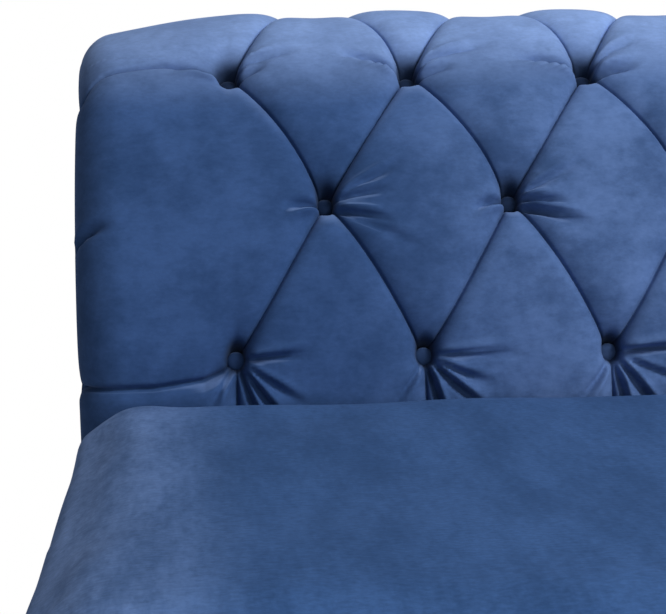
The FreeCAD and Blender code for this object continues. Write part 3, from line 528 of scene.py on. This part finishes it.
def insideBack():
    gaps, n, spacing = tuft["gaps"], tuft["lattice"], tuft["spacing"]
    rows = tuft["rows"]
    creaseGap = spacing * (rows[1] - rows[2]) / math.hypot(spacing / 2, rows[1] - rows[2])
    column, row = backLattice()

    # crease coordinates: a is whole on creases that fall to the left, b on those that fall to the right
    heldColumn, heldRow = np.clip(column, 0, gaps), np.clip(row, 0, 3)
    a = heldColumn + (heldRow - 1) / 2
    b = heldColumn - (heldRow - 1) / 2
    a = a - tuft["crowding"] * np.sin(2 * np.pi * a) / (2 * np.pi)
    b = b - tuft["crowding"] * np.sin(2 * np.pi * b) / (2 * np.pi)
    out = np.abs(column - heldColumn) * spacing
    tail = np.abs(rowsToLength(row) - rowsToLength(heldRow))
    flatX = tuft["firstColumn"] + spacing * ((a + b) / 2 + column - heldColumn)
    flatS = rowsToLength(1 + a - b + row - heldRow)

    # bows: each crease between two buttons is pushed sideways by a half sine along its run
    fallRight = bowOf(tuft["bowBack"], np.floor(a + 1e-6) - np.round(b) + 1)
    fallLeft = bowOf(tuft["bowForward"], np.round(a) - np.floor(b + 1e-6))
    bowFade = np.exp(-((out + tail) / tuft["bowFade"]) ** 2)
    fallRight = fallRight * np.abs(np.sin(np.pi * a)) * np.cos(np.pi * b) ** 2 * bowFade
    fallLeft = fallLeft * np.abs(np.sin(np.pi * b)) * np.cos(np.pi * a) ** 2 * bowFade
    lean = math.atan2(rows[1] - rows[2], spacing / 2)
    flatX = flatX + math.sin(lean) * (fallRight - fallLeft)
    flatS = flatS + math.cos(lean) * (fallRight + fallLeft)

    # the two pleats that run out to each end rise and fall as the cloth is pulled round
    nearTop = np.cos(np.clip(row - 1, -1, 1) * np.pi / 2) ** 2
    nearLow = np.cos(np.clip(row - 3, -1, 0) * np.pi / 2) ** 2
    flatS = flatS + nearTop * np.interp(out, *np.transpose(topPleat))
    flatS = flatS + nearLow * np.interp(out, *np.transpose(lowPleat)) * smooth(0, 12, out)

    # depth below the full outline
    p, q = a - np.floor(a), b - np.floor(b)
    width = creaseGap * (1 + smooth(0, tuft["endWiden"], out))
    fadeOut = tuft["endFade"] + (1 - tuft["endFade"]) * np.exp(-(out / tuft["fadeLength"]) ** 2)
    fadeTail = tuft["tailFade"] + (1 - tuft["tailFade"]) * np.exp(-tail / tuft["fadeLength"])
    tailShare = smooth(0, tuft["tailLap"], tail) * (row > 3)
    recess = tuft["padDepth"] * (1 - padHeight(p, q, width, tailShare)) * fadeOut * fadeTail
    corner = smooth(0, tuft["cornerFade"], out) * smooth(0, tuft["cornerFade"], tail)
    nearest = np.minimum(np.minimum(p, 1 - p), np.minimum(q, 1 - q)) * creaseGap + np.minimum(out, tail)
    slit = tuft["slit"] + ramp(*tuft["endSlit"], out)
    recess = recess * (1 - corner) + slit * np.exp(-(nearest / tuft["slitWidth"]) ** 2)
    recess = recess + buttonPits(flatX, flatS) + furrowDepth(flatX, flatS)
    lumps = gentleLumps(flatX, flatS, tuft["seed"], tuft["lumpSize"])
    recess = recess + lumps * ramp(*tuft["lumps"], out)

    # ends: a quarter round of the end radius, then a tuck in behind the end panel
    side = np.sign(flatX)
    halfWidth = outline["halfWidth"] - ramp(*tuft["endNarrow"], row) - ramp(*tuft["rollNarrow"], row)
    radius = tuft["endRound"] + ramp(*tuft["rollSharper"], flatS)
    past = np.abs(flatX) - (halfWidth - radius)
    turn = np.clip(past / radius, 0, np.pi / 2)
    tuck = np.maximum(past - radius * np.pi / 2, 0)
    x = np.where(past > 0, halfWidth - radius + radius * np.sin(turn), np.abs(flatX))
    inset = radius * (1 - np.cos(turn)) + tuck
    fromEnd = np.clip(halfWidth - np.abs(x), 0, None)
    drop = np.clip(1 - fromEnd / tuft["crestDropReach"], 0, 1) ** 1.6 * ramp(*tuft["crestDrop"], flatS)
    inset = inset + drop * ramp(*tuft["crestDropEnd"], flatS - tuckLength)
    inset = inset - ramp(*tuft["rollFullness"], flatS)
    inset = inset + np.sin(np.pi * heldColumn) ** 4 * ramp(*tuft["crownDip"], flatS)
    x = x - recess * np.sin(turn)
    inset = inset + recess * np.cos(turn)
    y, z, _ = backProfile(flatS, inset)
    front = np.stack([side * x, y, z], -1)

    # the padding's rear face is plain, so it is closed by long strips between its two ends
    height, breadth = front.shape[:2]
    count = height * breadth
    rearY, rearZ, _ = backProfile(flatS[:, n * 2], np.full(len(flatS), tuft["padding"]))
    rearHalf = outline["halfWidth"] - tuft["rearInset"]
    rearX = np.clip(side * x, -rearHalf, rearHalf)
    rear = np.stack([rearX, rearY[:, None] + 0 * x, rearZ[:, None] + 0 * x], -1)
    border = rim(height, breadth)
    points = np.concatenate([front.reshape(-1, 3), rear.reshape(-1, 3)[border]])
    rearRim = np.arange(count, count + len(border))
    wall = np.stack([border, np.roll(border, -1), np.roll(rearRim, -1), rearRim], -1)
    # every quad is split along the crease family that is nearer
    quads = gridFaces(height, breadth)
    middleA, middleB = a.reshape(-1)[quads].mean(1), b.reshape(-1)[quads].mean(1)
    alongB = np.abs(middleB - np.round(middleB)) < np.abs(middleA - np.round(middleA))
    split = np.where(alongB[:, None], quads[:, [0, 1, 2, 0, 2, 3]], quads[:, [0, 1, 3, 1, 2, 3]])
    faces = split.reshape(-1, 3).tolist() + wall.tolist()
    rearOf = np.zeros(count, int)
    rearOf[border] = rearRim
    rearOf = rearOf.reshape(height, breadth)
    left, right = rearOf[:, 0].tolist(), rearOf[:, -1].tolist()
    lowRun, highRun = rearOf[0].tolist(), rearOf[-1].tolist()
    faces.append(lowRun[::-1] + [left[1], right[1]])
    faces.append(highRun + [right[-2], left[-2]])
    faces += [[left[i], right[i], right[i + 1], left[i + 1]] for i in range(1, height - 2)]
    # painted shade that deepens with the recess in pits and creases, where the pile is also crushed
    crushedAndShaded = np.zeros(len(points))
    crushedAndShaded[:count] = ramp(*tuft["crushAndShade"], recess).reshape(-1)
    piece = addPiece("insideBackVelvet", points, faces, "blue_velvet", crushedAndShaded=crushedAndShaded)
    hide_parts("inside_back_cover", "back_foam")


insideBack()
print("inside back made")

# Covered buttons

button = {
    "crushAndShade": (0.9, 0.9, 0.85, 0.45),  # by row: painted shade on the buttons, darker where their pits are deeper
    "radius": 8.2,
    "edge": 3.0,
    "dome": 4.0,
    "seat": 33.7,
    "sides": 24,
    "base": ((0.0, 0.0), (0.78, 0.0), (0.93, 0.5), (0.985, 1.4)),  # share of the radius, and height
}


def coveredButtons():
    # a dome turned about the pit's axis: edge rolls out of the base and closes over the top
    radius, edge, dome = button["radius"], button["edge"], button["dome"]
    baseR, baseH = np.transpose(button["base"])
    t = np.linspace(0, 1, 9) * np.pi / 2
    r = np.r_[radius * baseR, radius * np.cos(t)]
    h = np.r_[baseH, edge + dome * np.sin(t)]
    angle = np.arange(button["sides"]) * 2 * np.pi / button["sides"]
    acrossX = r[:, None] * np.cos(angle)
    acrossUp = r[:, None] * np.sin(angle)
    points, faces = [], []
    for x, row in buttonPlaces():
        y, z, turn = backProfile(np.array(tuft["rows"][row]), np.array(button["seat"]))
        outY, outZ = -np.cos(turn), np.sin(turn)
        ring = np.stack([x + acrossX, y + acrossUp * outZ + h[:, None] * outY,
                         z - acrossUp * outY + h[:, None] * outZ], -1)
        ring = np.concatenate([ring, ring[:, :1]], 1)
        faces += gridFaces(*ring.shape[:2], start=sum(len(p) for p in points)).tolist()
        points.append(ring.reshape(-1, 3))
    # painted shade on each button, by its row
    crushedAndShaded = np.repeat([button["crushAndShade"][row] for x, row in buttonPlaces()], len(points[0]))
    piece = addPiece("coveredButtons", np.concatenate(points), faces, "blue_velvet", crushedAndShaded=crushedAndShaded)
    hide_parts("tuft_buttons")


coveredButtons()
print("buttons made")

# Bench cushion

cushionLow, cushionHigh = cadBounds("seat_cushion_cover")
bench = {
    "half": cushionHigh[0] + 1.5,
    "taper": (-1.7, 4.0),  # the ends stand in at the rear and out at the front
    "taperReach": 300,
    "front": cushionLow[1],
    "rear": cushionHigh[1],
    "rest": cushionLow[2],
    "top": cushionHigh[2] + 8.0,
    "seamHeight": 136.0,
    "endDrop": 22.0,  # the top falls this much within endFall of the ends
    "endFall": 60.0,
    "corner": 42.0,  # plan corners
    "edge": 7.0,  # roll of the sewn edges
    "frontRise": 60.0,
    "frontBulge": 9.0,
    "drawIn": 7.0,
    "rearRound": 8.0,
    "step": 9.0,
    "endSteps": 9,  # rings that close each end
    "endReach": 60,  # only this much of the end's depth closes in
    "lumps": (1.0, -20, 10),  # height, and where it comes in about the seam
    "lumpSize": 220.0,
    "voxel": 9.0,
    "frames": 12,
    "pressure": 4.0,
    "swelling": 3.0,  # no point moves further than this
    "easing": 3,  # rounds of smoothing after the filling
    "edgeShading": (0.7, -4.5, -1.5),  # painted shade along the sewn edge of the ends: how dark, and how far inside the end it starts and is full
    # and how far below the top edge that painted shade starts and is full
    "edgeShadingUp": (1.0, -12, -5),
    "seam": (2.2, 4.0),  # depth and half width of the sewn line under the top
    "seamReach": 20,
    "seed": 5,
}


def swellCushion(piece):
    # even remesh, then a few frames of cloth under gentle pressure without gravity; each move is capped,
    # the underside and the rear stay where they rest, and the sewn line is pressed in afterwards
    scene = bpy.context.scene
    bpy.context.view_layer.objects.active = piece
    even = piece.modifiers.new("even", "REMESH")
    even.mode = "VOXEL"
    even.voxel_size = bench["voxel"] * mm
    even.use_smooth_shade = True
    bpy.ops.object.modifier_apply(modifier=even.name)
    before = meshPoints(piece.data)
    cloth = piece.modifiers.new("filled", "CLOTH")
    cloth.settings.use_pressure = True
    cloth.settings.uniform_pressure_force = bench["pressure"]
    cloth.settings.effector_weights.gravity = 0.0
    for step in range(1, bench["frames"] + 1):
        scene.frame_set(step)
    shaped = piece.evaluated_get(bpy.context.evaluated_depsgraph_get())
    move = meshPoints(shaped.data) - before
    piece.modifiers.remove(cloth)
    scene.frame_set(1)
    length = np.maximum(np.linalg.norm(move, axis=1, keepdims=True), 1e-9)
    after = before + move * np.minimum(1.0, bench["swelling"] * mm / length)
    after[:, 2] = np.maximum(after[:, 2], bench["rest"] * mm)
    after[:, 1] = np.minimum(after[:, 1], bench["rear"] * mm)
    deep, width = bench["seam"]
    fromSeam = after[:, 2] / mm - (bench["rest"] + bench["seamHeight"] - bench["endDrop"])
    press = deep * np.exp(-(fromSeam / width) ** 2) * mm
    press = press * smooth(bench["half"] - bench["seamReach"], bench["half"], np.abs(after[:, 0]) / mm)
    after[:, 0] -= np.sign(after[:, 0]) * press
    piece.data.vertices.foreach_set("co", after.reshape(-1))
    piece.data.update()
    ease = piece.modifiers.new("ease", "SMOOTH")
    ease.factor, ease.iterations = 0.5, bench["easing"]
    bpy.ops.object.modifier_apply(modifier=ease.name)
    furthest = round(float(length.max()) / mm, 1)
    print("cushion filled,", len(before), "points, furthest move", furthest, "mm before the cap")


def endTaper(y):
    # how far the ends stand out at this depth, along a straight line from rear to front
    rear, front = bench["taper"]
    return rear + (front - rear) * (bench["rear"] - y) / (bench["rear"] - bench["front"])


def benchCushion():
    # closed section of front bulge, crowned top, rounded rear and flat base, carried along X;
    # near the ends the section shrinks round the corner and closes to a line
    half, step, bottom = bench["half"], bench["step"], bench["rest"]
    depth = bench["rear"] - bench["front"]
    acrossTop = np.linspace(0, 1, int(depth / step))
    acrossSide = np.linspace(0, 1, int(bench["seamHeight"] / step) + 2)
    flat = half - bench["edge"]
    turn = np.linspace(0, np.pi / 2, 5)[1:]
    # stations along X: place, inset of the rolled edge, and how far the section is still open
    right = [(flat + bench["edge"] * np.sin(t), bench["edge"] * (1 - np.cos(t)), 1.0) for t in turn]
    right += [(half, bench["edge"], k) for k in np.linspace(1, 0, bench["endSteps"])[1:]]
    stations = [(-x, inset, k) for x, inset, k in reversed(right)]
    stations += [(x * flat, 0.0, 1.0) for x in np.linspace(-1, 1, int(2 * half / step))]
    rings = []
    for x, inset, k in stations + right:
        share = abs(x) / half
        fromEnd = half - abs(x)
        planTurn = max(0.0, 1 - fromEnd / bench["corner"])
        plan = bench["corner"] * (1 - math.sqrt(max(0.0, 1 - planTurn ** 2)))
        front = bench["front"] + plan + inset + bench["drawIn"] * (1 - share ** 2)
        rear = bench["rear"] - plan - inset
        top = bench["top"] - inset - bench["endDrop"] * (1 - smooth(0, bench["endFall"], fromEnd)) ** 1.5
        low = bottom + inset
        seam = min(bottom + bench["seamHeight"], top - 4)
        y = front + (rear - front) * acrossTop
        riseY = np.clip((y - front) / bench["frontRise"], 0, 1)
        z = seam + (top - seam) * np.sqrt(1 - (1 - riseY) ** 2)
        back = np.clip((y - (rear - bench["rearRound"])) / bench["rearRound"], 0, 1)
        z = z - bench["rearRound"] * (1 - np.sqrt(1 - back ** 2))
        sideZ = z[-1] + (low - z[-1]) * acrossSide[1:]
        baseY = rear + (front - rear) * acrossTop[1:]
        frontZ = low + (seam - low) * acrossSide[1:-1]
        bulge = -bench["frontBulge"] * np.sin(np.pi * acrossSide[1:-1])
        ringY = np.r_[y, np.full(len(sideZ), rear), baseY, front + bulge]
        ringZ = np.r_[z, sideZ, np.full(len(baseY), low), frontZ]
        level = (low + seam) / 2
        ringZ = level + (ringZ - level) * k
        middleY = (front + rear) / 2
        reach = depth / 2 - bench["endReach"]
        away = np.abs(ringY - middleY)
        closing = middleY + np.sign(ringY - middleY) * np.minimum(away, reach + (away - reach) * k)
        ringY = np.where(k < 1, closing, ringY)
        rings.append(np.stack([np.full(len(ringY), x), ringY, ringZ], -1))
    grid = np.stack(rings)
    grid = np.concatenate([grid, grid[:, :1]], 1)
    lumps = gentleLumps(grid[..., 0], grid[..., 1], bench["seed"], bench["lumpSize"])
    grid[..., 2] += lumps * ramp(*bench["lumps"], grid[..., 2] - bottom - bench["seamHeight"])
    nearEnd = smooth(half - bench["taperReach"], half, np.abs(grid[..., 0]))
    grid[..., 0] += np.sign(grid[..., 0]) * endTaper(grid[..., 1]) * nearEnd
    piece = addGrid("benchCushion", grid, "blue_velvet", "seat_cushion", seatVelvet)
    swellCushion(piece)
    # painted shade along the sewn edge of both ends, where the rolled edge turns away from the light
    x, y, z = (meshPoints(piece.data) / mm).T
    edgeZ = bench["top"] - bench["endDrop"] - bench["edge"]
    edgeShade = ramp(*bench["edgeShading"], np.abs(x) - half - endTaper(y)) * ramp(*bench["edgeShadingUp"], z - edgeZ)
    layer = piece.data.attributes.new("crushedAndShaded", "FLOAT", "POINT")
    layer.data.foreach_set("value", edgeShade)
    soften = piece.modifiers.new("soften", "SUBSURF")
    soften.levels = soften.render_levels = 1
    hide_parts("seat_cushion_cover", "seat_cushion_foam")


benchCushion()
print("bench cushion made")

# Padded end panels, outside back and base band

panels = {
    "roll": 7.0,  # rounded edges of the padding
    "endBulge": (3.0, 0, 60),  # full at 60 from the edge
    "endInset": 5.0,
    "rearBulge": (3.0, 0, 150),
    "rearRoll": 2.0,
    "rearLumps": (0.5, 3, 260.0),  # height, seed and size
    "bandBulge": (4.0, 0, 70),
    "bandClear": 0.3,
    "cornerRound": 14.0,
    "wrap": (1.0, 0.1),  # outer and inner face past the board's ends
    "lap": (2.0, 0.3),  # and in front of the board
    "lapDepth": 16.0,
    "hemDepth": 12.0,  # the hem lies this far inside the roll
    "hemThick": 1.5,
}


def rollEdge(distance, radius):
    # quarter round: how far the face drops behind its full level at this distance from the edge
    t = np.clip(distance / radius, 0, 1)
    return radius * (1 - np.sqrt(1 - (1 - t) ** 2))


def endPanels():
    # between the lean and crest curve in front and the straight rear, rolled over at the edges
    low, high = cadBounds("right_end_cover")
    padLow, _ = cadBounds("right_end_padding")
    offset = low[1] - outline["faceY"]
    s = np.linspace(-outline["upright"], leanLength + crestLength, 400)
    frontY, frontZ, _ = backProfile(s, np.full(len(s), offset))
    reach = outline["scrollRadius"] - offset
    tuckY, tuckZ = tuckPoint(offset)
    shoulderZ = tuckZ - (high[1] - tuckY) * math.tan(outline["tuckAngle"])
    z = np.linspace(low[2], high[2] - 0.4, 90)
    front = np.interp(z, frontZ, frontY)
    scrollRear = crestY + np.sqrt(np.maximum(reach ** 2 - np.minimum(z - scrollZ, reach) ** 2, 0))
    slope = tuckY + (high[1] - tuckY) * (tuckZ - z) / (tuckZ - shoulderZ)
    rear = np.where(z < shoulderZ, high[1], np.where(z < tuckZ, slope, scrollRear))
    k = (1 - np.cos(np.linspace(0, np.pi, 46))) / 2
    y = front[:, None] + (rear - front)[:, None] * k
    z = z[:, None] + 0 * y
    edge = np.minimum(np.minimum(y - front[:, None], rear[:, None] - y), z - low[2] + 2)
    edge = np.minimum(edge, high[2] - z)
    x = high[0] - panels["endInset"] + ramp(*panels["endBulge"], edge) - rollEdge(edge, panels["roll"])
    for side, name in ((-1, "left"), (1, "right")):
        outer = np.stack([side * x, y, z], -1)
        inner = np.stack([0 * y + side * padLow[0], y, z], -1)
        piece = addSlab(name + "EndPanel", outer, inner, "blue_velvet")
        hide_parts(name + "_end_cover", name + "_end_padding")


def outsideBack():
    # cloth over the board, turned in under the roll along its top and forward round the board's two ends
    low, high = cadBounds("outside_back_cover")
    boardFront = cadBounds("outside_back_board")[0][1]
    x, z, edge = flatGrid(low, high, (0, 2), (180, 60))
    y = high[1] + ramp(*panels["rearBulge"], edge) - rollEdge(edge, panels["rearRoll"])
    lumpHeight, lumpSeed, lumpSize = panels["rearLumps"]
    y = y + lumpHeight * gentleLumps(x, z, lumpSeed, lumpSize) * smooth(5, 60, edge)
    hemY, hemZ = tuckPoint(panels["hemDepth"])
    share = np.linspace(0, 1, 7)[1:, None, None]

    def turnedIn(grid, lift, past, lap):
        # straight run in to the hem, then each end round the board's edge and in front of it
        target = np.stack([grid[-1, :, 0], 0 * x[0] + hemY, 0 * x[0] + hemZ + lift], -1)
        grid = np.concatenate([grid, grid[-1] + (target - grid[-1]) * share])
        ends = []
        for column, side in ((grid[:, :1], -1), (grid[:, -1:], 1)):
            corner = column + np.array([side * past, 0, 0])
            forward = corner.copy()
            forward[..., 1] = np.minimum(corner[..., 1], boardFront - lap)
            inward = forward - np.array([side * panels["lapDepth"], 0, 0])
            ends.append([inward, forward, corner])
        return np.concatenate(ends[0] + [grid] + ends[1][::-1], 1)

    faces = ((y, 0.0), (0 * x + low[1], -panels["hemThick"]))
    outer, inner = (turnedIn(np.stack([x, face, z], -1), lift, past, lap)
                    for (face, lift), past, lap in zip(faces, panels["wrap"], panels["lap"]))
    piece = addSlab("outsideBackPanel", outer, inner, "blue_velvet")
    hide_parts("outside_back_cover")


def baseBand():
    # one band round the front and both sides: the path is three straights and two quarter rounds,
    # each point a corner radius out from a centre line along the direction it faces
    low, high = cadBounds("front_border_cover")
    _, sideHigh = cadBounds("right_border_cover")
    _, padHigh = cadBounds("front_border_padding")
    radius = panels["cornerRound"]
    turn = np.linspace(0, np.pi / 2, 9)[1:-1]
    right, front = high[0] - radius, low[1] + radius
    sideY = np.linspace(sideHigh[1], front, 100)
    frontX = np.linspace(right, -right, 180)
    straight, cornered = np.zeros(len(sideY)), np.zeros(len(turn))
    facing = np.r_[straight, turn, 0 * frontX + np.pi / 2, turn + np.pi / 2, straight + np.pi]
    outX, outY = np.cos(facing), -np.sin(facing)
    centreX = np.r_[straight + right, cornered + right, frontX, cornered - right, straight - right]
    centreY = np.r_[sideY, cornered + front, 0 * frontX + front, cornered + front, sideY[::-1]]
    pathX, pathY = centreX + radius * outX, centreY + radius * outY
    z = np.linspace(low[2], high[2], 24)[:, None]
    edge = np.minimum(z - low[2], high[2] - z)
    out = ramp(*panels["bandBulge"], edge) - rollEdge(edge, panels["roll"]) + 0 * pathX
    outer = np.stack([pathX + outX * out, pathY + outY * out, z + 0 * pathX], -1)
    wall = padHigh[1] - low[1] - panels["bandClear"]
    inner = np.stack([pathX - outX * wall + 0 * z, pathY - outY * wall + 0 * z, z + 0 * pathX], -1)
    piece = addSlab("baseBand", outer, inner, "blue_velvet")
    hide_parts("front_border_cover", "front_border_padding", "left_border_cover",
                "left_border_padding", "right_border_cover", "right_border_padding")


endPanels()
outsideBack()
baseBand()
print("panels made")

# Deck and dust cover

deck = {
    "sag": (3.0, 10, 160),
    "clear": 0.2,  # between felt and cloth
    "feltRoll": 3.0,
    "feltLumps": (0.3, 8, 60.0),  # height, seed and size
    "cloth": 1.2,
}
dust = {
    "sag": (5.0, 25, 200),
    "clear": 0.3,
    "cloth": 0.6,
    "legRoom": 0.5,
    "staple": (11.0, 1.2, 0.8),
    "staplePitch": 55.0,
    "stapleStart": 40,
    "stapleStop": 30,
    "stapleEdge": 9,
}


def deckLayers():
    # felt with rolled edges that sags between the rails, and a cloth that lies on it
    low, high = cadBounds("deck_felt")
    clothLow, clothHigh = cadBounds("deck_cloth")
    x, y, edge = flatGrid(low, high, (0, 1), (133, 48))
    dip = ramp(*deck["sag"], edge)
    lumpHeight, lumpSeed, lumpSize = deck["feltLumps"]
    lumps = lumpHeight * gentleLumps(x, y, lumpSeed, lumpSize) * smooth(4, 20, edge)
    top = clothLow[2] - deck["clear"] - dip - rollEdge(edge, deck["feltRoll"]) + lumps
    felt = addSlab("deckFelt", np.stack([x, y, top], -1), np.stack([x, y, 0 * x + low[2]], -1), "felt")
    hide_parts("deck_felt")
    grid = np.stack([x, y, clothHigh[2] - deck["clear"] - dip], -1)
    cloth = addGrid("deckCloth", grid, "black_lining")
    thicken(cloth, deck["cloth"], -1.0)
    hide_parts("deck_cloth")


def dustCover():
    # flat cloth that sags between the rails; points inside a leg's circle move out onto it
    low, high = cadBounds("dust_cover")
    x, y, edge = flatGrid(low, high, (0, 1), (157, 77))
    inside = np.zeros(x.shape, bool)
    for name in legNames:
        legLow, legHigh = cadBounds(name)
        centre = (legLow + legHigh) / 2
        radius = (legHigh[0] - legLow[0]) / 2 + dust["legRoom"]
        dx, dy = x - centre[0], y - centre[1]
        away = np.maximum(np.hypot(dx, dy), 1e-6)
        near = away < radius
        inside |= near
        x = np.where(near, centre[0] + dx * radius / away, x)
        y = np.where(near, centre[1] + dy * radius / away, y)
        edge = np.minimum(edge, np.maximum(away - radius, 0))
    z = high[2] - dust["clear"] - ramp(*dust["sag"], edge)
    quads = gridFaces(*x.shape)
    quads = quads[~inside.reshape(-1)[quads].all(1)]
    cloth = addPiece("dustCover", np.stack([x, y, z], -1), quads.tolist(), "black_lining")
    thicken(cloth, dust["cloth"], 0.0)
    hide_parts("dust_cover")


def dustStaples():
    # a low wedge-sided bar repeated along all four edges, turned on the two short ones
    low, high = cadBounds("dust_cover")
    length, width, height = dust["staple"]
    corner = np.array([[-1, -1, 0], [1, -1, 0], [1, 1, 0], [-1, 1, 0], [-0.8, -0.6, 1], [0.8, -0.6, 1],
                       [0.8, 0.6, 1], [-0.8, 0.6, 1]]) * [length / 2, width / 2, -height]
    box = np.array([[0, 1, 2, 3], [4, 5, 6, 7], [0, 1, 5, 4], [1, 2, 6, 5], [2, 3, 7, 6], [3, 0, 4, 7]])
    first, last = low + dust["stapleStart"], high - dust["stapleStop"]
    alongX, alongY = (np.arange(first[i], last[i], dust["staplePitch"]) for i in (0, 1))
    nearLow, nearHigh = low + dust["stapleEdge"], high - dust["stapleEdge"]
    spots = [(px, py, 0) for px in alongX for py in (nearLow[1], nearHigh[1])]
    spots += [(px, py, 1) for py in alongY for px in (nearLow[0], nearHigh[0])]
    level = high[2] - dust["cloth"]
    points = [(corner[:, [1, 0, 2]] if turned else corner) + [px, py, level] for px, py, turned in spots]
    faces = np.concatenate([box + 8 * i for i in range(len(spots))]).tolist()
    addPiece("dustStaples", np.concatenate(points), faces, "zinc_steel", flat=True)


deckLayers()
dustCover()
dustStaples()
print("deck and dust cover made")

# Turned legs

leg = {
    "sides": 56,
    "steps": 90,
    # height above the floor and radius, from the top down: collar, neck, bulb, ankle, tapered foot
    "profile": ((130, 30), (129, 31), (126, 31), (122, 31), (119, 30.2), (118, 28.5), (116, 25), (113, 22.6),
                (110, 21.4), (108, 21), (105, 24.5), (100, 29.5), (94, 33), (86, 34.8), (78, 34), (70, 30.6),
                (64, 26.5), (61, 24.2), (60, 24), (57, 23.6), (40, 20.9), (20, 17.9), (8, 16.1), (5, 15.4),
                (4, 14.5)),
    "pole": 0.01,  # the ends close to this radius
}


def turnedLegs():
    # profile of radius against height, turned about the leg's axis
    z, r = np.transpose(leg["profile"])
    height = np.linspace(z[-1], z[0], leg["steps"])
    radius = np.interp(height, z[::-1], r[::-1])
    angle = np.linspace(0, 2 * np.pi, leg["sides"] + 1)
    radius = np.r_[leg["pole"], radius, leg["pole"]][:, None]
    height = np.r_[height[0], height, height[-1]][:, None]
    for name in legNames:
        low, high = cadBounds(name)
        centre = (low + high) / 2
        grid = np.stack([centre[0] + radius * np.cos(angle), centre[1] + radius * np.sin(angle),
                         height + 0 * angle], -1)
        words = name.split("_")
        title = words[0] + "".join(word.title() for word in words[1:])
        piece = addGrid(title, grid, "stained_leg")
        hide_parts(name)


turnedLegs()
print("legs made")

# Floor, light and camera

studio = {
    "floorSize": 9.0,
    "floorDrop": 0.5,
    "shadowReach": (1.25, 0.85),  # half axes of the oval that keeps the shadow
    "worldFill": 0.12,
    "key": {"energy": 56.0, "size": (1.0, 0.8), "place": (1.15, -1.35, 2.25), "aim": (-0.4, 0.15, 0.55)},
    "front": {"energy": 19.0, "size": (2.0, 1.2), "place": (0.3, -2.5, 0.9), "aim": (-0.4, 0.15, 0.5)},
    "top": {"energy": 11.0, "size": (2.6, 1.4), "place": (0.2, 0.35, 2.6), "aim": (-0.2, 0.15, 0.5)},
}
view = {
    "place": (-696.6, -1554.2, 752.9),  # from the middle of the back's face at the floor
    "pitch": 7.99,
    "yaw": 4.395,
    "roll": -0.643,
    "focal": 1838.7,  # pixels, for a picture 666 wide
    "width": 666,
}


def seenDirectly(tree):
    # 1 for rays from the camera and those that mirror or pass through, 0 for light that bounces
    path = addNode(tree, "LightPath")
    clear = addNode(tree, "Math", larger,
                    links={0: path.outputs["Is Glossy Ray"], 1: path.outputs["Is Transmission Ray"]})
    seen = addNode(tree, "Math", larger, links={0: path.outputs["Is Camera Ray"], 1: clear})
    return seen


def addWorld():
    # white where it is seen, a soft fill where it only lights
    world = bpy.data.worlds.new("whiteStudio")
    bpy.context.scene.world = world
    world.use_nodes = True
    tree = world.node_tree
    tree.nodes.clear()
    strength = addNode(tree, "MapRange", values={"To Min": studio["worldFill"], "To Max": 1.0},
                       links={"Value": seenDirectly(tree)})
    back = addNode(tree, "Background", values={"Color": (1, 1, 1, 1)}, links={"Strength": strength})
    addNode(tree, "OutputWorld", links={"Surface": back})


def addFloor():
    # pale paint that turns to plain white away from the settee's shadow
    material, tree, place = newMaterial("paintedFloor")
    paint = addNode(tree, "BsdfDiffuse", values={"Color": (0.9, 0.9, 0.9, 1)})
    glow = addNode(tree, "Emission", values={"Color": (1, 1, 1, 1), "Strength": 1.0})
    oval = addNode(tree, "Mapping", values={"Scale": [1 / r for r in studio["shadowReach"]] + [1]},
                   links={"Vector": place})
    away = addNode(tree, "VectorMath", {"operation": "LENGTH"}, links={0: oval})
    fade = addNode(tree, "MapRange", eased, {"From Min": 0.75, "From Max": 1.2, "To Min": 0.5},
                   {"Value": away.outputs["Value"]})
    share = addNode(tree, "Math", times, links={0: fade, 1: seenDirectly(tree)})
    both = addNode(tree, "MixShader", links={0: share, 1: paint, 2: glow})
    addNode(tree, "OutputMaterial", links={"Surface": both})
    reach = studio["floorSize"] / mm
    x, y = np.meshgrid(np.linspace(-reach, reach, 3), np.linspace(-reach, reach, 3))
    points = np.stack([x, y, 0 * x - studio["floorDrop"]], -1).reshape(-1, 3) * mm
    mesh = bpy.data.meshes.new("floor")
    mesh.from_pydata(points.tolist(), [], gridFaces(3, 3).tolist())
    mesh.materials.append(material)
    floor = addObject("floor", mesh)


def addLights():
    for name in ("key", "top", "front"):
        lamp = studio[name]
        light = bpy.data.lights.new(name + "Light", "AREA")
        light.shape = "RECTANGLE"
        light.size, light.size_y = lamp["size"]
        light.energy = lamp["energy"]
        holder = addObject(name + "Light", light)
        holder.location = lamp["place"]
        holder.visible_camera = False
        away = np.array(lamp["place"]) - np.array(lamp["aim"])
        holder.rotation_euler = (math.atan2(math.hypot(away[0], away[1]), away[2]), 0,
                                 math.atan2(away[0], -away[1]))


def addCamera():
    # turned by the roll, then up from straight down to the pitch, then by the yaw towards +X
    yaw, pitch, roll = (math.radians(view[key]) for key in ("yaw", "pitch", "roll"))
    turned = (Matrix.Rotation(-yaw, 4, "Z") @ Matrix.Rotation(math.pi / 2 - pitch, 4, "X")
              @ Matrix.Rotation(roll, 4, "Z"))
    lens = bpy.data.cameras.new("camera")
    lens.sensor_fit = "HORIZONTAL"
    lens.sensor_width = 36.0
    lens.lens = view["focal"] / view["width"] * lens.sensor_width
    lens.clip_start = 0.05
    camera = addObject("camera", lens)
    place = (np.array(view["place"]) + [0, outline["faceY"], 0]) * mm
    camera.matrix_world = Matrix.Translation(place) @ turned
    bpy.context.scene.camera = camera


bpy.context.scene.view_settings.view_transform = "Standard"
addWorld()
addFloor()
addLights()
addCamera()
print("studio made")
